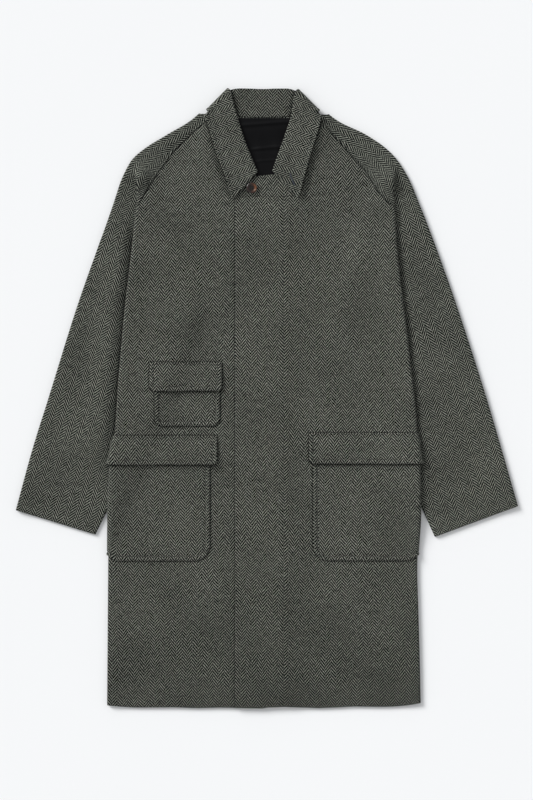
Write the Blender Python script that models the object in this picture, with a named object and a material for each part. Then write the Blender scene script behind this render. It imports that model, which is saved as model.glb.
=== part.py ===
"""Balmacaan coat laid flat on its back, raglan sleeves beside the body.

Frame: origin under the middle of the whole outline, +Y to the collar, +Z up off the
floor, +X to the viewer's right, which is the wearer's left. The shapes are worked in
millimetres with y from the hem, and add_object moves them to the frame. Each side has
its own coordinate m, the distance from the middle line, so that x = -m on the wearer's
right and x = +m on the wearer's left.
"""
from math import cos, pi, radians, sin

import bmesh
import bpy
import numpy as np

for old in list(bpy.data.objects):
    bpy.data.objects.remove(old, do_unlink=True)

MM = 0.001

# Cloth
CLOTH = 2.4
AIR = 0.6
PITCH = CLOTH + AIR
SEAM = 0.3
LINING = 1.0
COLLAR_CLOTH = 2.0
POCKET_CLOTH = 1.8
FLAP_CLOTH = 2.0
POCKET_AIR = 0.5

# Heights of the middle of each layer over the floor
FLOOR_LAYER = CLOTH / 2
UPPER_LAYER = FLOOR_LAYER + PITCH
OVER_SLEEVE = 2 * PITCH

# Rounded folds
FOLD_RADIUS = 2.6
CREASE_RADIUS = PITCH / 2
PUFF = 2 * FOLD_RADIUS - PITCH
PUFF_WIDTH = 35.0
RAMP = 42.0
HEM_CORNER = 10.0

# Main sizes of the coat as it lies, y from the hem
LENGTH = 1068.88
RAGLAN_FOLD_Y = 866.0
ARMPIT_Y = 683.0
ARMPIT_M = 132.0
SIDE_SEAM_TOP = 98.0
LEFT_FRONT_EDGE = -54.4
RIGHT_FRONT_EDGE = -40.0
OVERLAP_END = 44.0

# Collar
STAND_RAISE = 4.6
LEAF_LAYER = 12.1
COLLAR_ROLL_STEPS = 8

# Button
BUTTON_X = -26.0
BUTTON_Y = 896.0
BUTTON_RADIUS = 9.2

COAT = (0.075, 0.08, 0.068, 1)
DARK = (0.008, 0.008, 0.009, 1)
HORN = (0.05, 0.022, 0.012, 1)


def columns(*rows):
    """Table of (y, m) pairs, top row first, as two rising arrays."""
    pairs = sorted(rows)
    return np.array([p[0] for p in pairs], float), np.array([p[1] for p in pairs], float)


def read(table, y):
    return np.interp(y, table[0], table[1])


def smooth(a, b, x):
    t = np.clip((np.asarray(x, float) - a) / (b - a), 0, 1)
    return t * t * (3 - 2 * t)


# Outline tables, (y, m)
RIGHT = {
    "sign": -1,
    "outer": columns((1035, 106.5), (1007, 140.9), (986, 175.3), (966, 207.9), (945, 232.0), (924, 244.1),
                     (904, 252.7), (883, 259.5), (842, 273.3), (780, 295.7), (697, 324.9), (532, 376.5),
                     (450, 402.3), (343, 431.7)),
    "fold": columns((1035, 217), (966, 221.7), (924, 224.3), (866, 225.5), (837, 230.3), (775, 237.2),
                    (704, 245.8), (567, 257.8), (482, 262.5), (412, 269.0), (348, 271.6), (171, 273.3),
                    (0, 274.6)),
    "raglan": columns((1018, 98.5), (1010, 107.0), (986, 132.3), (960, 158.8), (942, 172.5), (921, 188.0),
                      (902, 200.0), (885, 210.0), (866, 220.8)),
    "neck": columns((1018, 98.5), (1013, 96.3), (967, 69.2), (941, 43.6), (920, 19.2)),
    "sleeve_neck": columns((1035, 102.5), (1029.4, 100.6), (1018, 98.5)),
    "back_neck": columns((1035, 106), (1029.6, 100.6), (1027.4, 88), (1024.4, 79)),
    "cuff": ((431.7, 343.0), (294.8, 301.0)),
    "leaf": columns((1031, 106.5), (1010, 103), (974, 92.7), (931, 77.2), (890, 61.7), (878, 54.9)),
    "fall_back": columns((104, 1030), (96, 1025.5), (76.7, 1017.5), (46.8, 1008.4), (17.5, 1003.5),
                         (-6, 1003)),
    "back_neckline": columns((100.6, 1029.4), (90, 1029.0), (73, 1023.9), (43.8, 1019.2), (16.3, 1018),
                             (-6, 1018)),
}
LEFT = {
    "sign": 1,
    "outer": columns((1035, 94.8), (1007, 134.3), (986, 173.9), (966, 203.1), (945, 223.8), (924, 237.5),
                     (904, 247.9), (883, 256.5), (842, 272.8), (780, 296.0), (697, 325.3), (532, 378.6),
                     (450, 402.7), (350, 431.7)),
    "fold": columns((1035, 212), (966, 216.0), (924, 217.4), (866, 219.6), (821, 221.5), (790, 224.0),
                    (720, 231.5), (666, 238.4), (584, 247.9), (498, 257.0), (412, 261.4), (348, 262.6),
                    (171, 265.1), (0, 265.9)),
    "raglan": columns((1018, 88.7), (1010, 95.5), (986, 114.8), (960, 138.0), (942, 155.2), (921, 171.5),
                      (902, 183.5), (885, 195.0), (866, 213.0)),
    "neck": columns((1018, 88.7), (1013, 86.5), (967, 59.2), (940.5, 34.4), (922, 13.2)),
    "sleeve_neck": columns((1035, 89.5), (1029, 88.9), (1018, 88.7)),
    "back_neck": columns((1035, 94), (1029.1, 86), (1026.9, 76), (1024.4, 68)),
    "cuff": ((431.7, 350.0), (288.5, 297.0)),
    "leaf": columns((1031, 94.8), (1005, 91.3), (962, 77.6), (914, 63.8), (880, 54.0)),
    "fall_back": columns((92, 1030), (84, 1025.5), (65.7, 1017.5), (35.8, 1008.4), (8.5, 1003.5),
                         (-10, 1003)),
    "back_neckline": columns((86, 1028.9), (78, 1028.5), (62, 1023.9), (32.8, 1019.2), (7.3, 1018),
                             (-10, 1018)),
}
TUCK = columns((1035, 218), (957, 217), (930, 214), (905, 209), (866, 198), (800, 175), (740, 152),
               (ARMPIT_Y, ARMPIT_M))
SIDE_SEAM = columns((ARMPIT_Y, SIDE_SEAM_TOP), (600, 127), (500, 167), (400, 207), (300, 238),
                    (200, 250), (0, 257))
BACK_RAGLAN = columns((1024.4, 0.0), (900, 0.30), (780, 0.66), (ARMPIT_Y, 1.0))


def material(name, colour, rough):
    mat = bpy.data.materials.new(name)
    mat.use_nodes = True
    shader = mat.node_tree.nodes["Principled BSDF"]
    shader.inputs["Base Color"].default_value = colour
    shader.inputs["Roughness"].default_value = rough
    mat.diffuse_color = colour
    return mat


def add_object(name, points, faces, colour, rough):
    """One closed body from points in millimetres from the hem, its faces turned outward."""
    mesh = bpy.data.meshes.new(name)
    placed = (np.asarray(points, float) - (0, LENGTH / 2, 0)) * MM
    mesh.from_pydata([tuple(p) for p in placed], [], faces)
    mesh.update()
    body = bmesh.new()
    body.from_mesh(mesh)
    if body.calc_volume(signed=True) < 0:
        bmesh.ops.reverse_faces(body, faces=body.faces)
    body.to_mesh(mesh)
    body.free()
    thing = bpy.data.objects.new(name, mesh)
    bpy.context.collection.objects.link(thing)
    mesh.materials.append(material(name + "_material", colour, rough))
    return thing


def offsets(middle, keep):
    """Step off a grid of middle points that moves its cells a unit, at each of its points."""
    a, b, c, d = middle[:-1, :-1], middle[:-1, 1:], middle[1:, 1:], middle[1:, :-1]
    cell = np.cross(c - a, d - b)
    cell /= np.linalg.norm(cell, axis=2, keepdims=True) + 1e-12
    cell *= keep[..., None]
    total = np.zeros_like(middle)
    count = np.zeros(middle.shape[:2] + (1,))
    first, last = slice(None, -1), slice(1, None)
    for i, j in ((first, first), (first, last), (last, last), (last, first)):
        total[i, j] += cell
        count[i, j, 0] += keep
    length = np.linalg.norm(total, axis=2, keepdims=True) + 1e-12
    return total / length * np.clip(count / length, 1, 1.15), count[..., 0] > 0


def cloth(name, middle, keep, thick, colour=COAT, rough=0.9):
    """Wall of cloth half its thickness to each side of a grid of middle points.

    middle: rows x columns x 3, keep: which cells of the grid are cloth.
    """
    rows, cols = middle.shape[:2]
    step, used = offsets(middle, keep)
    upper = middle + step * thick / 2
    lower = middle - step * thick / 2
    index = -np.ones((rows, cols), int)
    index[used] = np.arange(used.sum())
    n = int(used.sum())
    faces = []
    edges = {}
    for i in range(rows - 1):
        for j in range(cols - 1):
            if not keep[i, j]:
                continue
            ring = [int(index[i, j]), int(index[i, j + 1]), int(index[i + 1, j + 1]), int(index[i + 1, j])]
            for corner in ((0, 1, 2), (0, 2, 3)):
                faces.append([ring[c] for c in corner])
                faces.append([ring[c] + n for c in reversed(corner)])
            for k in range(4):
                p, q = ring[k], ring[(k + 1) % 4]
                if (q, p) in edges:
                    del edges[(q, p)]
                else:
                    edges[(p, q)] = True
    for p, q in edges:
        faces.append([q, p, p + n, q + n])
    return add_object(name, np.vstack([upper[used], lower[used]]), faces, colour, rough)


# Levels over the floor and lines across the cloth


def line_m(side, y):
    """The tuck above the armpit and the sleeve's own inner edge below it."""
    (m_out, y_out), (m_in, y_in) = side["cuff"]
    low = np.interp(y, [y_in, 348, ARMPIT_Y], [m_in, m_in - 23, ARMPIT_M])
    low = np.where(y < y_in, m_in + (y_in - y) * 0.5, low)
    high = read(TUCK, y) + (read(side["fold"], y) - read(RIGHT["fold"], y)) * (y > 800)
    return np.where(y > ARMPIT_Y, high, low)


def fade(y):
    """Share of the shoulder fold that is left, none over its top end."""
    return 1 - smooth(920, 976, y)


def turned(y):
    """Turning of the shoulder fold in radians, with its two arc lengths and the flat between."""
    share = fade(y)
    room = float(1 - 0.65 * smooth(976, 1010, y))
    first = 6 * room + (FOLD_RADIUS * pi - 6) * share
    second = 5 * room + (CREASE_RADIUS * pi - 5) * share
    return share * pi, first, second


def stretch(side, y):
    """How much wider the outer fold is along a row than across the fold."""
    slope = (float(read(side["outer"], y + 12)) - float(read(side["outer"], y - 12))) / 24
    return min((1 + slope ** 2) ** 0.5, 1.8)


def zigzag(side, y, steps=(4, 1, 3)):
    """Section of the shoulder fold from the yoke's end: arc, under-turn, arc, as (m, z) steps."""
    phi, first, second = turned(y)
    fold = float(read(side["fold"], y))
    reach = fold - FOLD_RADIUS - CREASE_RADIUS - CLOTH - float(line_m(side, y))
    flat = max(2.0 - float(smooth(976, 1010, y)), reach)
    points = [(0.0, 0.0)]
    heading = 0.0
    for length, count, turn in ((first, steps[0], -phi), (flat, steps[1], 0.0), (second, steps[2], phi)):
        for _ in range(count):
            mid = heading + turn / count / 2
            chord = length / count
            if turn:
                chord *= sin(abs(turn) / count / 2) / (abs(turn) / count / 2)
            m, z = points[-1]
            points.append((m + chord * cos(mid), z + chord * sin(mid)))
            heading += turn / count
    return np.array(points)


def yoke_end(side, y):
    """Where the top layer starts to turn under, fold or outer edge, whichever comes first."""
    fold = float(read(side["fold"], y)) - FOLD_RADIUS - CLOTH / 2
    outer = float(read(side["outer"], y)) - (FOLD_RADIUS + CLOTH / 2) * stretch(side, y)
    bare = float(5 + 9 * smooth(955, 975, y) - 11.5 * smooth(1000, 1022, y))
    return min(fold, outer - bare - zigzag(side, y)[-1, 0])


def under_collar(side, m, y):
    """1 under the collar leaf, down to 0 in a soft slope beyond it."""
    beyond = np.maximum(m - read(side["leaf"], y), 0)
    below = np.maximum(side["leaf"][0][0] - y, 0)
    return 1 - smooth(0, 38, np.hypot(beyond, below))


def over_fall(side, m, y):
    """1 over the fall at the back of the neck, 0 away from it."""
    beyond = np.maximum(m - side["fall_back"][0][-1], 0)
    below = np.maximum(read(side["fall_back"], m) - y, 0)
    return 1 - smooth(0, 30, np.hypot(beyond, below))


def back_level(side, m, y):
    return FLOOR_LAYER + PITCH * over_fall(side, m, y)


def collar_raise(side, m, y):
    return (1.6 + (STAND_RAISE - 1.6) * smooth(945, 990, y)) * under_collar(side, m, y)


def sleeve_level(side, m, y):
    """Upper layer of the sleeve, fuller beside its outer fold."""
    outer = read(side["outer"], y)
    width = np.clip(0.8 * (outer - read(side["fold"], y)), 6, PUFF_WIDTH)
    full = smooth(912, 930, y) * (1 - smooth(1010, 1026, y))
    puff = PUFF * np.maximum(1 - smooth(0, 1, (outer - FOLD_RADIUS - m) / width), full)
    return UPPER_LAYER + puff * (1 - under_collar(side, m, y)) + collar_raise(side, m, y)


def sleeve_step(side, m, y):
    """0 beside the sleeve, the height of its two layers over it."""
    line = line_m(side, y)
    return OVER_SLEEVE * smooth(-RAMP - 3, -3, m - line)


def front_level(side, m, y):
    """Top layer of the body, over the sleeve and under the collar."""
    end = read(side["fold"], y) - FOLD_RADIUS - CLOTH / 2
    puff = PUFF * (1 - smooth(0, PUFF_WIDTH, end - m))
    level = UPPER_LAYER + (sleeve_step(side, m, y) + puff) * fade(y) + collar_raise(side, m, y)
    if side is LEFT:
        level = level + PITCH * (1 - smooth(OVERLAP_END, OVERLAP_END + 30, m))
    return level


def yoke_level(side, m, y):
    """Level of the front beside the yoke, without the fronts' overlap."""
    level = front_level(side, m, y)
    if side is LEFT:
        level = level - PITCH * (1 - smooth(OVERLAP_END, OVERLAP_END + 30, m))
    return level


def hem_lift(m, y):
    return HEM_CORNER * np.clip((m - 205) / 65, 0, 1.1) ** 2 * np.exp(-np.maximum(y, 0) / 40)


def place(side, m, y, z):
    m, y, z = np.broadcast_arrays(np.asarray(m, float), y, z)
    return np.stack([side["sign"] * m, y + hem_lift(m, y), z], axis=-1)


def side_seam(side, y):
    return np.minimum(read(SIDE_SEAM, y), read(side["fold"], y) - FOLD_RADIUS - CLOTH / 2 - 10)


def spread(anchors, gap):
    """Anchors kept in rising order, the gap at least between them."""
    out = list(anchors)
    for k in range(1, len(out) - 1):
        out[k] = max(out[k], out[k - 1] + gap)
    for k in range(len(out) - 2, 0, -1):
        out[k] = min(out[k], out[k + 1] - gap)
    return np.array(out)


def front_edge(side, y):
    """Inner boundary of the front: its edge below, the neckline above."""
    neck_y, neck_m = side["neck"]
    if side is LEFT:
        low = np.interp(y, [902, 918], [LEFT_FRONT_EDGE, -17])
    else:
        low = np.interp(y, [902, 918], [RIGHT_FRONT_EDGE, neck_m[0] + 2])
    return np.where(y > 920, read(side["neck"], y) + 1.6, low)


BODY_ROWS = [0, 12, 40, 110, 190, 260, 310, 345, 380, 415, 450, 500, 550, 600, 640, 665, ARMPIT_Y]
SHOULDER_ROWS = [885, 902, 921, 942, 960, 986, 1010]
TOP_COLUMNS, ROLL_COLUMNS = 12, 5
PANELS = {}


def front(name, side):
    """Front panel: top layer, side fold, and the part turned under to the seams."""
    rows = BODY_ROWS[:-1] + [ARMPIT_Y - 0.4, ARMPIT_Y, 740, 800, RAGLAN_FOLD_Y - 0.2, RAGLAN_FOLD_Y]
    rows = sorted(rows + SHOULDER_ROWS + [918, 968, 1000, 1015])
    turned_a, turned_b = 2, 4
    grid = []
    for y in rows:
        start = float(read(side["fold"], y)) - FOLD_RADIUS - CLOTH / 2
        end = start if y < RAGLAN_FOLD_Y else float(read(side["raglan"], y)) - 0.35
        edge = float(front_edge(side, y))
        line = float(line_m(side, y))
        if side is LEFT:
            anchors = [edge] + [OVERLAP_END + step for step in (-2, 7, 15, 23, 32)]
        else:
            inner = min(line - RAMP - 4, end - 40)
            anchors = [edge] + [edge + (inner - edge) * k / 6 for k in range(1, 6)]
        ramp = [line - RAMP - 4, line - 34, line - 24, line - 14, line - 2]
        anchors += [min(r, end - 2 - 9 * (5 - k)) for k, r in enumerate(ramp)] + [end - 4, end]
        even = np.linspace(edge, end, TOP_COLUMNS + 1)
        share = float(smooth(903, 925, y))
        m = spread(anchors, min(3.0, (end - edge) / 24)) * (1 - share) + even * share
        z = front_level(side, m, y)
        line = min(line + CREASE_RADIUS + CLOTH / 2, start - 6)
        seam = min(float(side_seam(side, y)) + SEAM / 2, line - 3)
        floor = FLOOR_LAYER + float(sleeve_step(side, start, y))
        lift = (z[-1] - floor) / 2
        angle = np.linspace(0, pi, ROLL_COLUMNS + 1)[1:]
        arc_m = start + FOLD_RADIUS * np.sin(angle)
        arc_z = floor + lift * (1 + np.cos(angle))
        ride = np.linspace(start, line, turned_a + 1)[1:]
        flat = np.linspace(line, seam, turned_b + 1)[1:]
        under_m = np.concatenate([ride, flat])
        under_z = FLOOR_LAYER + sleeve_step(side, under_m, y)
        row_m = np.concatenate([m, arc_m, under_m])
        row_z = np.concatenate([z, arc_z, under_z])
        grid.append(place(side, row_m, float(y), row_z))
    middle = np.array(grid)
    keep = np.ones((len(rows) - 1, middle.shape[1] - 1), bool)
    for i in range(len(rows) - 1):
        if rows[i] >= RAGLAN_FOLD_Y - 0.5:
            keep[i, TOP_COLUMNS:] = False
        if rows[i + 1] > ARMPIT_Y - 0.3:
            keep[i, TOP_COLUMNS + ROLL_COLUMNS + turned_a:] = False
    step, _ = offsets(middle, keep)
    if step[5, 2, 2] < 0:
        step = -step
    PANELS[side["sign"]] = (np.array(rows, float), middle, step)
    return cloth(name, middle, keep, CLOTH)


def on_front(side, y, m_list, roll_steps, off):
    """Points off the front's middle at the distances m, then round its side fold."""
    rows, middle, step = PANELS[side["sign"]]
    i = int(np.clip(np.searchsorted(rows, y) - 1, 0, len(rows) - 2))
    t = (y - rows[i]) / (rows[i + 1] - rows[i])
    row = middle[i] * (1 - t) + middle[i + 1] * t
    push = step[i] * (1 - t) + step[i + 1] * t
    m_col = row[:TOP_COLUMNS + 1, 0] * side["sign"]
    moved = (row + push * off)[:TOP_COLUMNS + 1]
    points = np.stack([np.interp(m_list, m_col, moved[:, k]) for k in range(3)], axis=-1)
    if roll_steps:
        turn = slice(TOP_COLUMNS, TOP_COLUMNS + 1 + roll_steps)
        points = np.vstack([points, row[turn] + push[turn] * off])
    return points


def back(name):
    """Back panel flat on the floor, over the fall at the neck."""
    rows = BODY_ROWS + [780, 900, 960, 985, 1000, 1010]
    grid = []
    shares = np.linspace(0, 1, 6)
    for k, y in enumerate(rows + [1018]):
        halves = []
        for side in (RIGHT, LEFT):
            neck_m = side["back_neck"][1][0]
            if y < ARMPIT_Y:
                reach = float(side_seam(side, y)) - SEAM / 2
            else:
                yy = min(y, 1024.4)
                reach = neck_m + (SIDE_SEAM_TOP - neck_m) * float(read(BACK_RAGLAN, yy)) - 0.4
            m = reach * shares
            top_y = read(side["back_neckline"], m) - 0.9
            yy = np.minimum(float(y), top_y) if k < len(rows) else top_y
            if 960 <= y < 1018:
                yy = 960 + (top_y - 960) * (y - 960) / (1018 - 960)
            yy = np.broadcast_to(yy, m.shape)
            halves.append(place(side, m, yy, back_level(side, m, yy)))
        right, left = halves
        grid.append(np.vstack([right[::-1], left[1:]]))
    middle = np.array(grid)
    keep = np.ones((middle.shape[0] - 1, middle.shape[1] - 1), bool)
    return cloth(name, middle, keep, CLOTH)


def sleeve(name, side):
    """Raglan sleeve, one tube of cloth: yoke, shoulder fold, top layer, outer fold, back layer."""
    upper_rows = SHOULDER_ROWS + [RAGLAN_FOLD_Y + 0.2, 929, 936, 948, 954, 967, 975, 998, 1018, 1025]
    upper_rows = sorted(upper_rows, reverse=True)
    middle_rows = [835, 795, 745, 710, ARMPIT_Y]
    lower_rows = [0.0015, 0.06, 0.16, 0.28, 0.42, 0.56, 0.7, 0.85, 1.0]
    n_yoke, n_fold, n_top, n_roll, n_back, n_inner = 3, 8, 5, 5, 3, 2
    (cuff_m, cuff_y), (inner_m, inner_y) = side["cuff"]
    half = CREASE_RADIUS + CLOTH / 2
    grid = []
    kinds = []
    for row in upper_rows + middle_rows + [("v", v) for v in lower_rows]:
        tube = isinstance(row, tuple)
        if tube:
            y_out = ARMPIT_Y + (cuff_y - ARMPIT_Y) * row[1]
            y_in = ARMPIT_Y + (inner_y - ARMPIT_Y) * row[1]
            out_m = float(read(side["outer"], y_out))
            in_m = float(line_m(side, np.array(y_in)))
        else:
            y_out = y_in = float(row)
            out_m = float(read(side["outer"], row))
            in_m = float(line_m(side, np.array(y_in)))
        slope = (y_out - y_in) / (out_m - in_m)
        wide = 1.0 if tube else stretch(side, y_out)
        roll_m = out_m - (FOLD_RADIUS + CLOTH / 2) * wide

        def row_y(m):
            return y_in + slope * (np.asarray(m, float) - in_m)

        end_z = float(sleeve_level(side, np.array(roll_m), row_y(roll_m)))
        if tube:
            start = in_m + half
            angle = np.linspace(pi, 0, 5)
            fold_m = start - CREASE_RADIUS * np.sin(angle)
            fold_z = FLOOR_LAYER + CREASE_RADIUS * (1 + np.cos(angle))
            stub = in_m + 9 - SEAM / 2
            pad = n_yoke + n_fold - 5
            lead_m = np.concatenate([np.full(pad, stub), [stub], fold_m[:-1]])
            lead_z = np.concatenate([np.full(pad, FLOOR_LAYER), [FLOOR_LAYER], fold_z[:-1]])
            kinds.append("tube")
        elif row > RAGLAN_FOLD_Y:
            seam = read(side["raglan"], row) if row < 1018 else read(side["sleeve_neck"], row)
            seam = float(seam) + (0.35 if row < 1018 else 1.3)
            end = yoke_end(side, row)
            zig = zigzag(side, row)
            start = end + zig[-1, 0]
            base = float(sleeve_level(side, np.array(start), row))
            yoke_m = np.linspace(seam, end, n_yoke + 1)
            target = base - zig[-1, 1]
            yoke_z = yoke_level(side, yoke_m, float(row))
            gap = target - yoke_z[-1]
            yoke_z = yoke_z + gap * smooth(0, 1, np.linspace(0, 1, n_yoke + 1))
            lead_m = np.concatenate([yoke_m[:-1], end + zig[:-1, 0]])
            lead_z = np.concatenate([yoke_z[:-1], target + zig[:-1, 1]])
            kinds.append("yoke")
        else:
            start = in_m + half
            lead_m = np.full(n_yoke + n_fold, start)
            lead_z = np.full(n_yoke + n_fold, UPPER_LAYER)
            kinds.append("plain")
        share = np.linspace(0, 1, n_top + 1)
        top_m = start + (roll_m - start) * (1 - (1 - share) ** (1.4 if roll_m - start > 25 else 1))
        top_z = sleeve_level(side, top_m, row_y(top_m))
        floor = float(back_level(side, np.array(roll_m), row_y(roll_m)))
        angle = np.linspace(0, pi, n_roll + 1)[1:]
        roll_z = floor + (end_z - floor) / 2 * (1 + np.cos(angle))
        arc_m = roll_m + FOLD_RADIUS * wide * np.sin(angle)
        if tube:
            slit = in_m + 9 + SEAM / 2
            inner = slit - 2
        else:
            neck_m = side["back_neck"][1][0]
            if row > 1024.4:
                inner = float(read(side["back_neck"], row)) + 1.6
            else:
                inner = neck_m + (SIDE_SEAM_TOP - neck_m) * float(read(BACK_RAGLAN, row)) + 0.4
            slit = inner + 0.17 * (roll_m - inner)
        to_slit = np.linspace(roll_m, slit, n_back + 1)[1:]
        beyond = np.linspace(slit, inner, n_inner + 1)[1:]
        back_m = np.concatenate([to_slit, beyond])
        back_z = back_level(side, back_m, row_y(back_m))
        m = np.concatenate([lead_m, top_m, arc_m, back_m])
        z = np.concatenate([lead_z, top_z, roll_z, back_z])
        grid.append(np.stack([side["sign"] * m, row_y(m), z], axis=-1))
    middle = np.array(grid)
    keep = np.ones((len(grid) - 1, middle.shape[1] - 1), bool)
    lead = n_yoke + n_fold
    for i in range(len(grid) - 1):
        pair = (kinds[i], kinds[i + 1])
        if pair != ("yoke", "yoke"):
            keep[i, :lead] = False
        if pair == ("tube", "tube"):
            keep[i, lead - 5:lead] = True
        if "tube" in pair:
            keep[i, -n_inner:] = False
    return cloth(name, middle, keep, CLOTH)


# Collar stations from the front end to the middle of the back:
# fold m, fold y, angle below outward, stand length, fall length, turn from front to back in degrees
COLLAR_RIGHT = [
    (15.3, 924.5, 49.6, 6, 61, 0), (27, 952, 34, 20, 56, 0), (37.7, 979.5, 22, 34, 54, 0),
    (51.4, 1022.6, 14, 46, 52.8, 0), (58.5, 1050, 31, 49, 53.5, 0), (64.5, 1065.5, 45, 51, 53.2, 0),
    (64.5, 1065.5, 45, 51, 53.2, 180), (55, 1067.4, 54, 51, 56, 180), (44, 1068.0, 63, 51, 58, 180),
    (30, 1067.8, 75, 50, 61, 180), (16, 1067.2, 85, 49.2, 63.5, 180), (6, 1067, 90, 49, 64, 180)]
COLLAR_LEFT = [
    (9, 926, 45.6, 6, 64.4, 0), (18, 952, 35, 20, 58, 0), (27.7, 979.5, 22, 34, 53.5, 0),
    (41.5, 1022.6, 14, 46, 52, 0), (46.2, 1050, 29, 49, 53, 0), (51.5, 1065, 44, 51, 53.2, 0),
    (51.5, 1065, 44, 51, 53.2, 180), (42, 1067.0, 54, 51, 56, 180), (32, 1067.8, 64, 51, 58, 180),
    (17, 1067.8, 76, 50, 61, 180), (1, 1067.2, 85, 49.2, 63.5, 180)]


def collar_stations(side, table):
    """Stations with more between them: three on the leaf, steps round the side roll."""
    out = []
    for a, b in zip(table[:-1], table[1:]):
        a, b = np.array(a, float), np.array(b, float)
        steps = COLLAR_ROLL_STEPS if a[5] != b[5] else (3 if a[5] == 0 else 2)
        for k in range(steps):
            out.append(a + (b - a) * k / steps)
    out.append(np.array(table[-1], float))
    return [(side, *row) for row in out]


def collar(name):
    """Stand and fall in one band, a hairpin section carried round the neck from front end to front end."""
    right = collar_stations(RIGHT, COLLAR_RIGHT)
    left = collar_stations(LEFT, COLLAR_LEFT)
    stand_n, roll_n, fall_n = 2, 5, 3
    grid = []
    stations = right + left[::-1]
    folds = np.array([[row[0]["sign"] * row[1], row[2]] for row in stations])
    for k, (side, m, y, below, stand, fall, turn) in enumerate(stations):
        sign = side["sign"]
        run = folds[min(k + 1, len(folds) - 1)] - folds[max(k - 1, 0)]
        run = run / (np.linalg.norm(run) + 1e-9)
        across = abs(run[0] * -sin(radians(below)) - run[1] * sign * cos(radians(below)))
        longer = min(1 / max(across, 0.4), 2.2) if turn in (0, 180) else 1.0
        q = np.array([sign * cos(radians(below)), -sin(radians(below)), 0.0])
        outward = np.array([sign * sin(radians(below)), cos(radians(below)), 0.0])
        seam = np.array([m, y]) + stand * np.array([cos(radians(below)), -sin(radians(below))])
        seam_z = float(front_level(side, seam[0], seam[1]))
        front_mid = (seam_z + LEAF_LAYER) / 2
        front_h = (LEAF_LAYER - seam_z) / 2
        back_mid = FLOOR_LAYER + PITCH / 2
        back_h = PITCH / 2
        share = turn / 180
        radius = (front_mid - back_mid) / 2
        h = front_h + (back_h - front_h) * share
        n = np.array([0, 0, 1.0]) * cos(radians(turn)) + outward * sin(radians(turn))
        centre_z = (front_mid + back_mid) / 2
        inset = h * longer + CLOTH / 2
        origin = np.array([sign * m, y, centre_z]) + q * inset + radius * n
        points = []
        for i in range(stand_n):
            points.append(origin - h * n + q * (stand - SEAM - inset) * (1 - i / stand_n))
        for i in range(roll_n + 1):
            angle = pi * i / roll_n
            points.append(origin - h * cos(angle) * n - h * longer * sin(angle) * q)
        for i in range(1, fall_n + 1):
            points.append(origin + h * n + q * (fall - inset) * i / fall_n)
        grid.append(points)
    middle = np.array(grid)
    keep = np.ones((middle.shape[0] - 1, middle.shape[1] - 1), bool)
    return cloth(name, middle, keep, COLLAR_CLOTH)


def neck_lining(name):
    """Lining over the inside of the back where the neck is open, a short way under the fronts."""
    # y, x on the viewer's left, x on the viewer's right
    table = [(903, -34, 22), (915, -36, 24), (935, -40, 27), (960, -49, 36), (985, -58, 45),
             (1000, -62, 49), (1008, -64, 51), (1016.5, -66, 53)]
    grid = []
    for y, x_left, x_right in table:
        x = np.linspace(x_left, x_right, 7)
        z = np.where(x < 0, back_level(RIGHT, np.abs(x), y), back_level(LEFT, x, y))
        z = z + CLOTH / 2 + 0.4 + LINING / 2
        grid.append(np.stack([x, np.full(7, float(y)), z], axis=-1))
    middle = np.array(grid)
    keep = np.ones((len(table) - 1, 6), bool)
    return cloth(name, middle, keep, LINING, DARK, 0.5)


def patch(name, side, rows, inner, outer, lifts, thick, roll_steps=3):
    """Wall on the front between the inner and outer m of each row, its middle lifted off the front's.

    An outer m of None takes it round the side fold of the front.
    """
    grid = []
    for y, m_in, m_out, lift in zip(rows, inner, outer, lifts):
        fold = float(read(side["fold"], y)) - FOLD_RADIUS - CLOTH / 2
        line = float(line_m(side, y))
        ramp = [line - RAMP - 4, line - 34, line - 24, line - 14, line - 2]
        if m_out is None:
            ramp = [min(r, fold - 2 - 9 * (5 - k)) for k, r in enumerate(ramp)] + [fold - 4]
            first = np.linspace(m_in, ramp[0], 4)
            m_list = list(first[:-1]) + [max(r, m_in + 2 + k) for k, r in enumerate(ramp)]
            grid.append(on_front(side, y, m_list, roll_steps, lift))
        else:
            m_list = spread([m_in, (m_in + ramp[0]) / 2] + ramp + [m_out], 1.0)
            grid.append(on_front(side, y, m_list, 0, lift))
    middle = np.array(grid)
    keep = np.ones((len(rows) - 1, middle.shape[1] - 1), bool)
    return cloth(name, middle, keep, thick)


def patch_pocket(name, side, top, bottom, inner_m, outer_m, radius):
    """Patch pocket with round lower corners."""
    heights = [bottom + radius * s for s in (0, 0.08, 0.3, 0.6, 1.0)]
    heights += [y for y in BODY_ROWS if bottom + radius + 6 < y < top - 6] + [top]
    inner, outer = [], []
    for y in heights:
        drop = max(0.0, radius - (y - bottom))
        inset = radius - (radius ** 2 - drop ** 2) ** 0.5
        inner.append(inner_m + inset)
        outer.append(outer_m - inset if outer_m else None)
    lift = CLOTH / 2 + POCKET_AIR + POCKET_CLOTH / 2
    return patch(name, side, heights, inner, outer, [lift] * len(heights), POCKET_CLOTH)


def flap(name, side, top, bottom, inner_m, outer_m, pocket_top):
    """Flap sewn on over the pocket's mouth, lying on the pocket below it."""
    heights = [bottom, bottom + 1.2, bottom + 4]
    heights += [y for y in BODY_ROWS if bottom + 8 < y < pocket_top - 5] + [pocket_top, pocket_top + 6, top]
    low = CLOTH / 2 + SEAM + FLAP_CLOTH / 2
    high = CLOTH / 2 + POCKET_AIR + POCKET_CLOTH + POCKET_AIR + FLAP_CLOTH / 2
    inner, outer, lifts = [], [], []
    for y in heights:
        corner = 4 * max(0.0, 1 - (y - bottom) / 4) ** 2
        inner.append(inner_m + corner)
        outer.append(outer_m - corner if outer_m else None)
        lifts.append(high + (low - high) * float(smooth(pocket_top, pocket_top + 6, y)))
    return patch(name, side, heights, inner, outer, lifts, FLAP_CLOTH)


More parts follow.
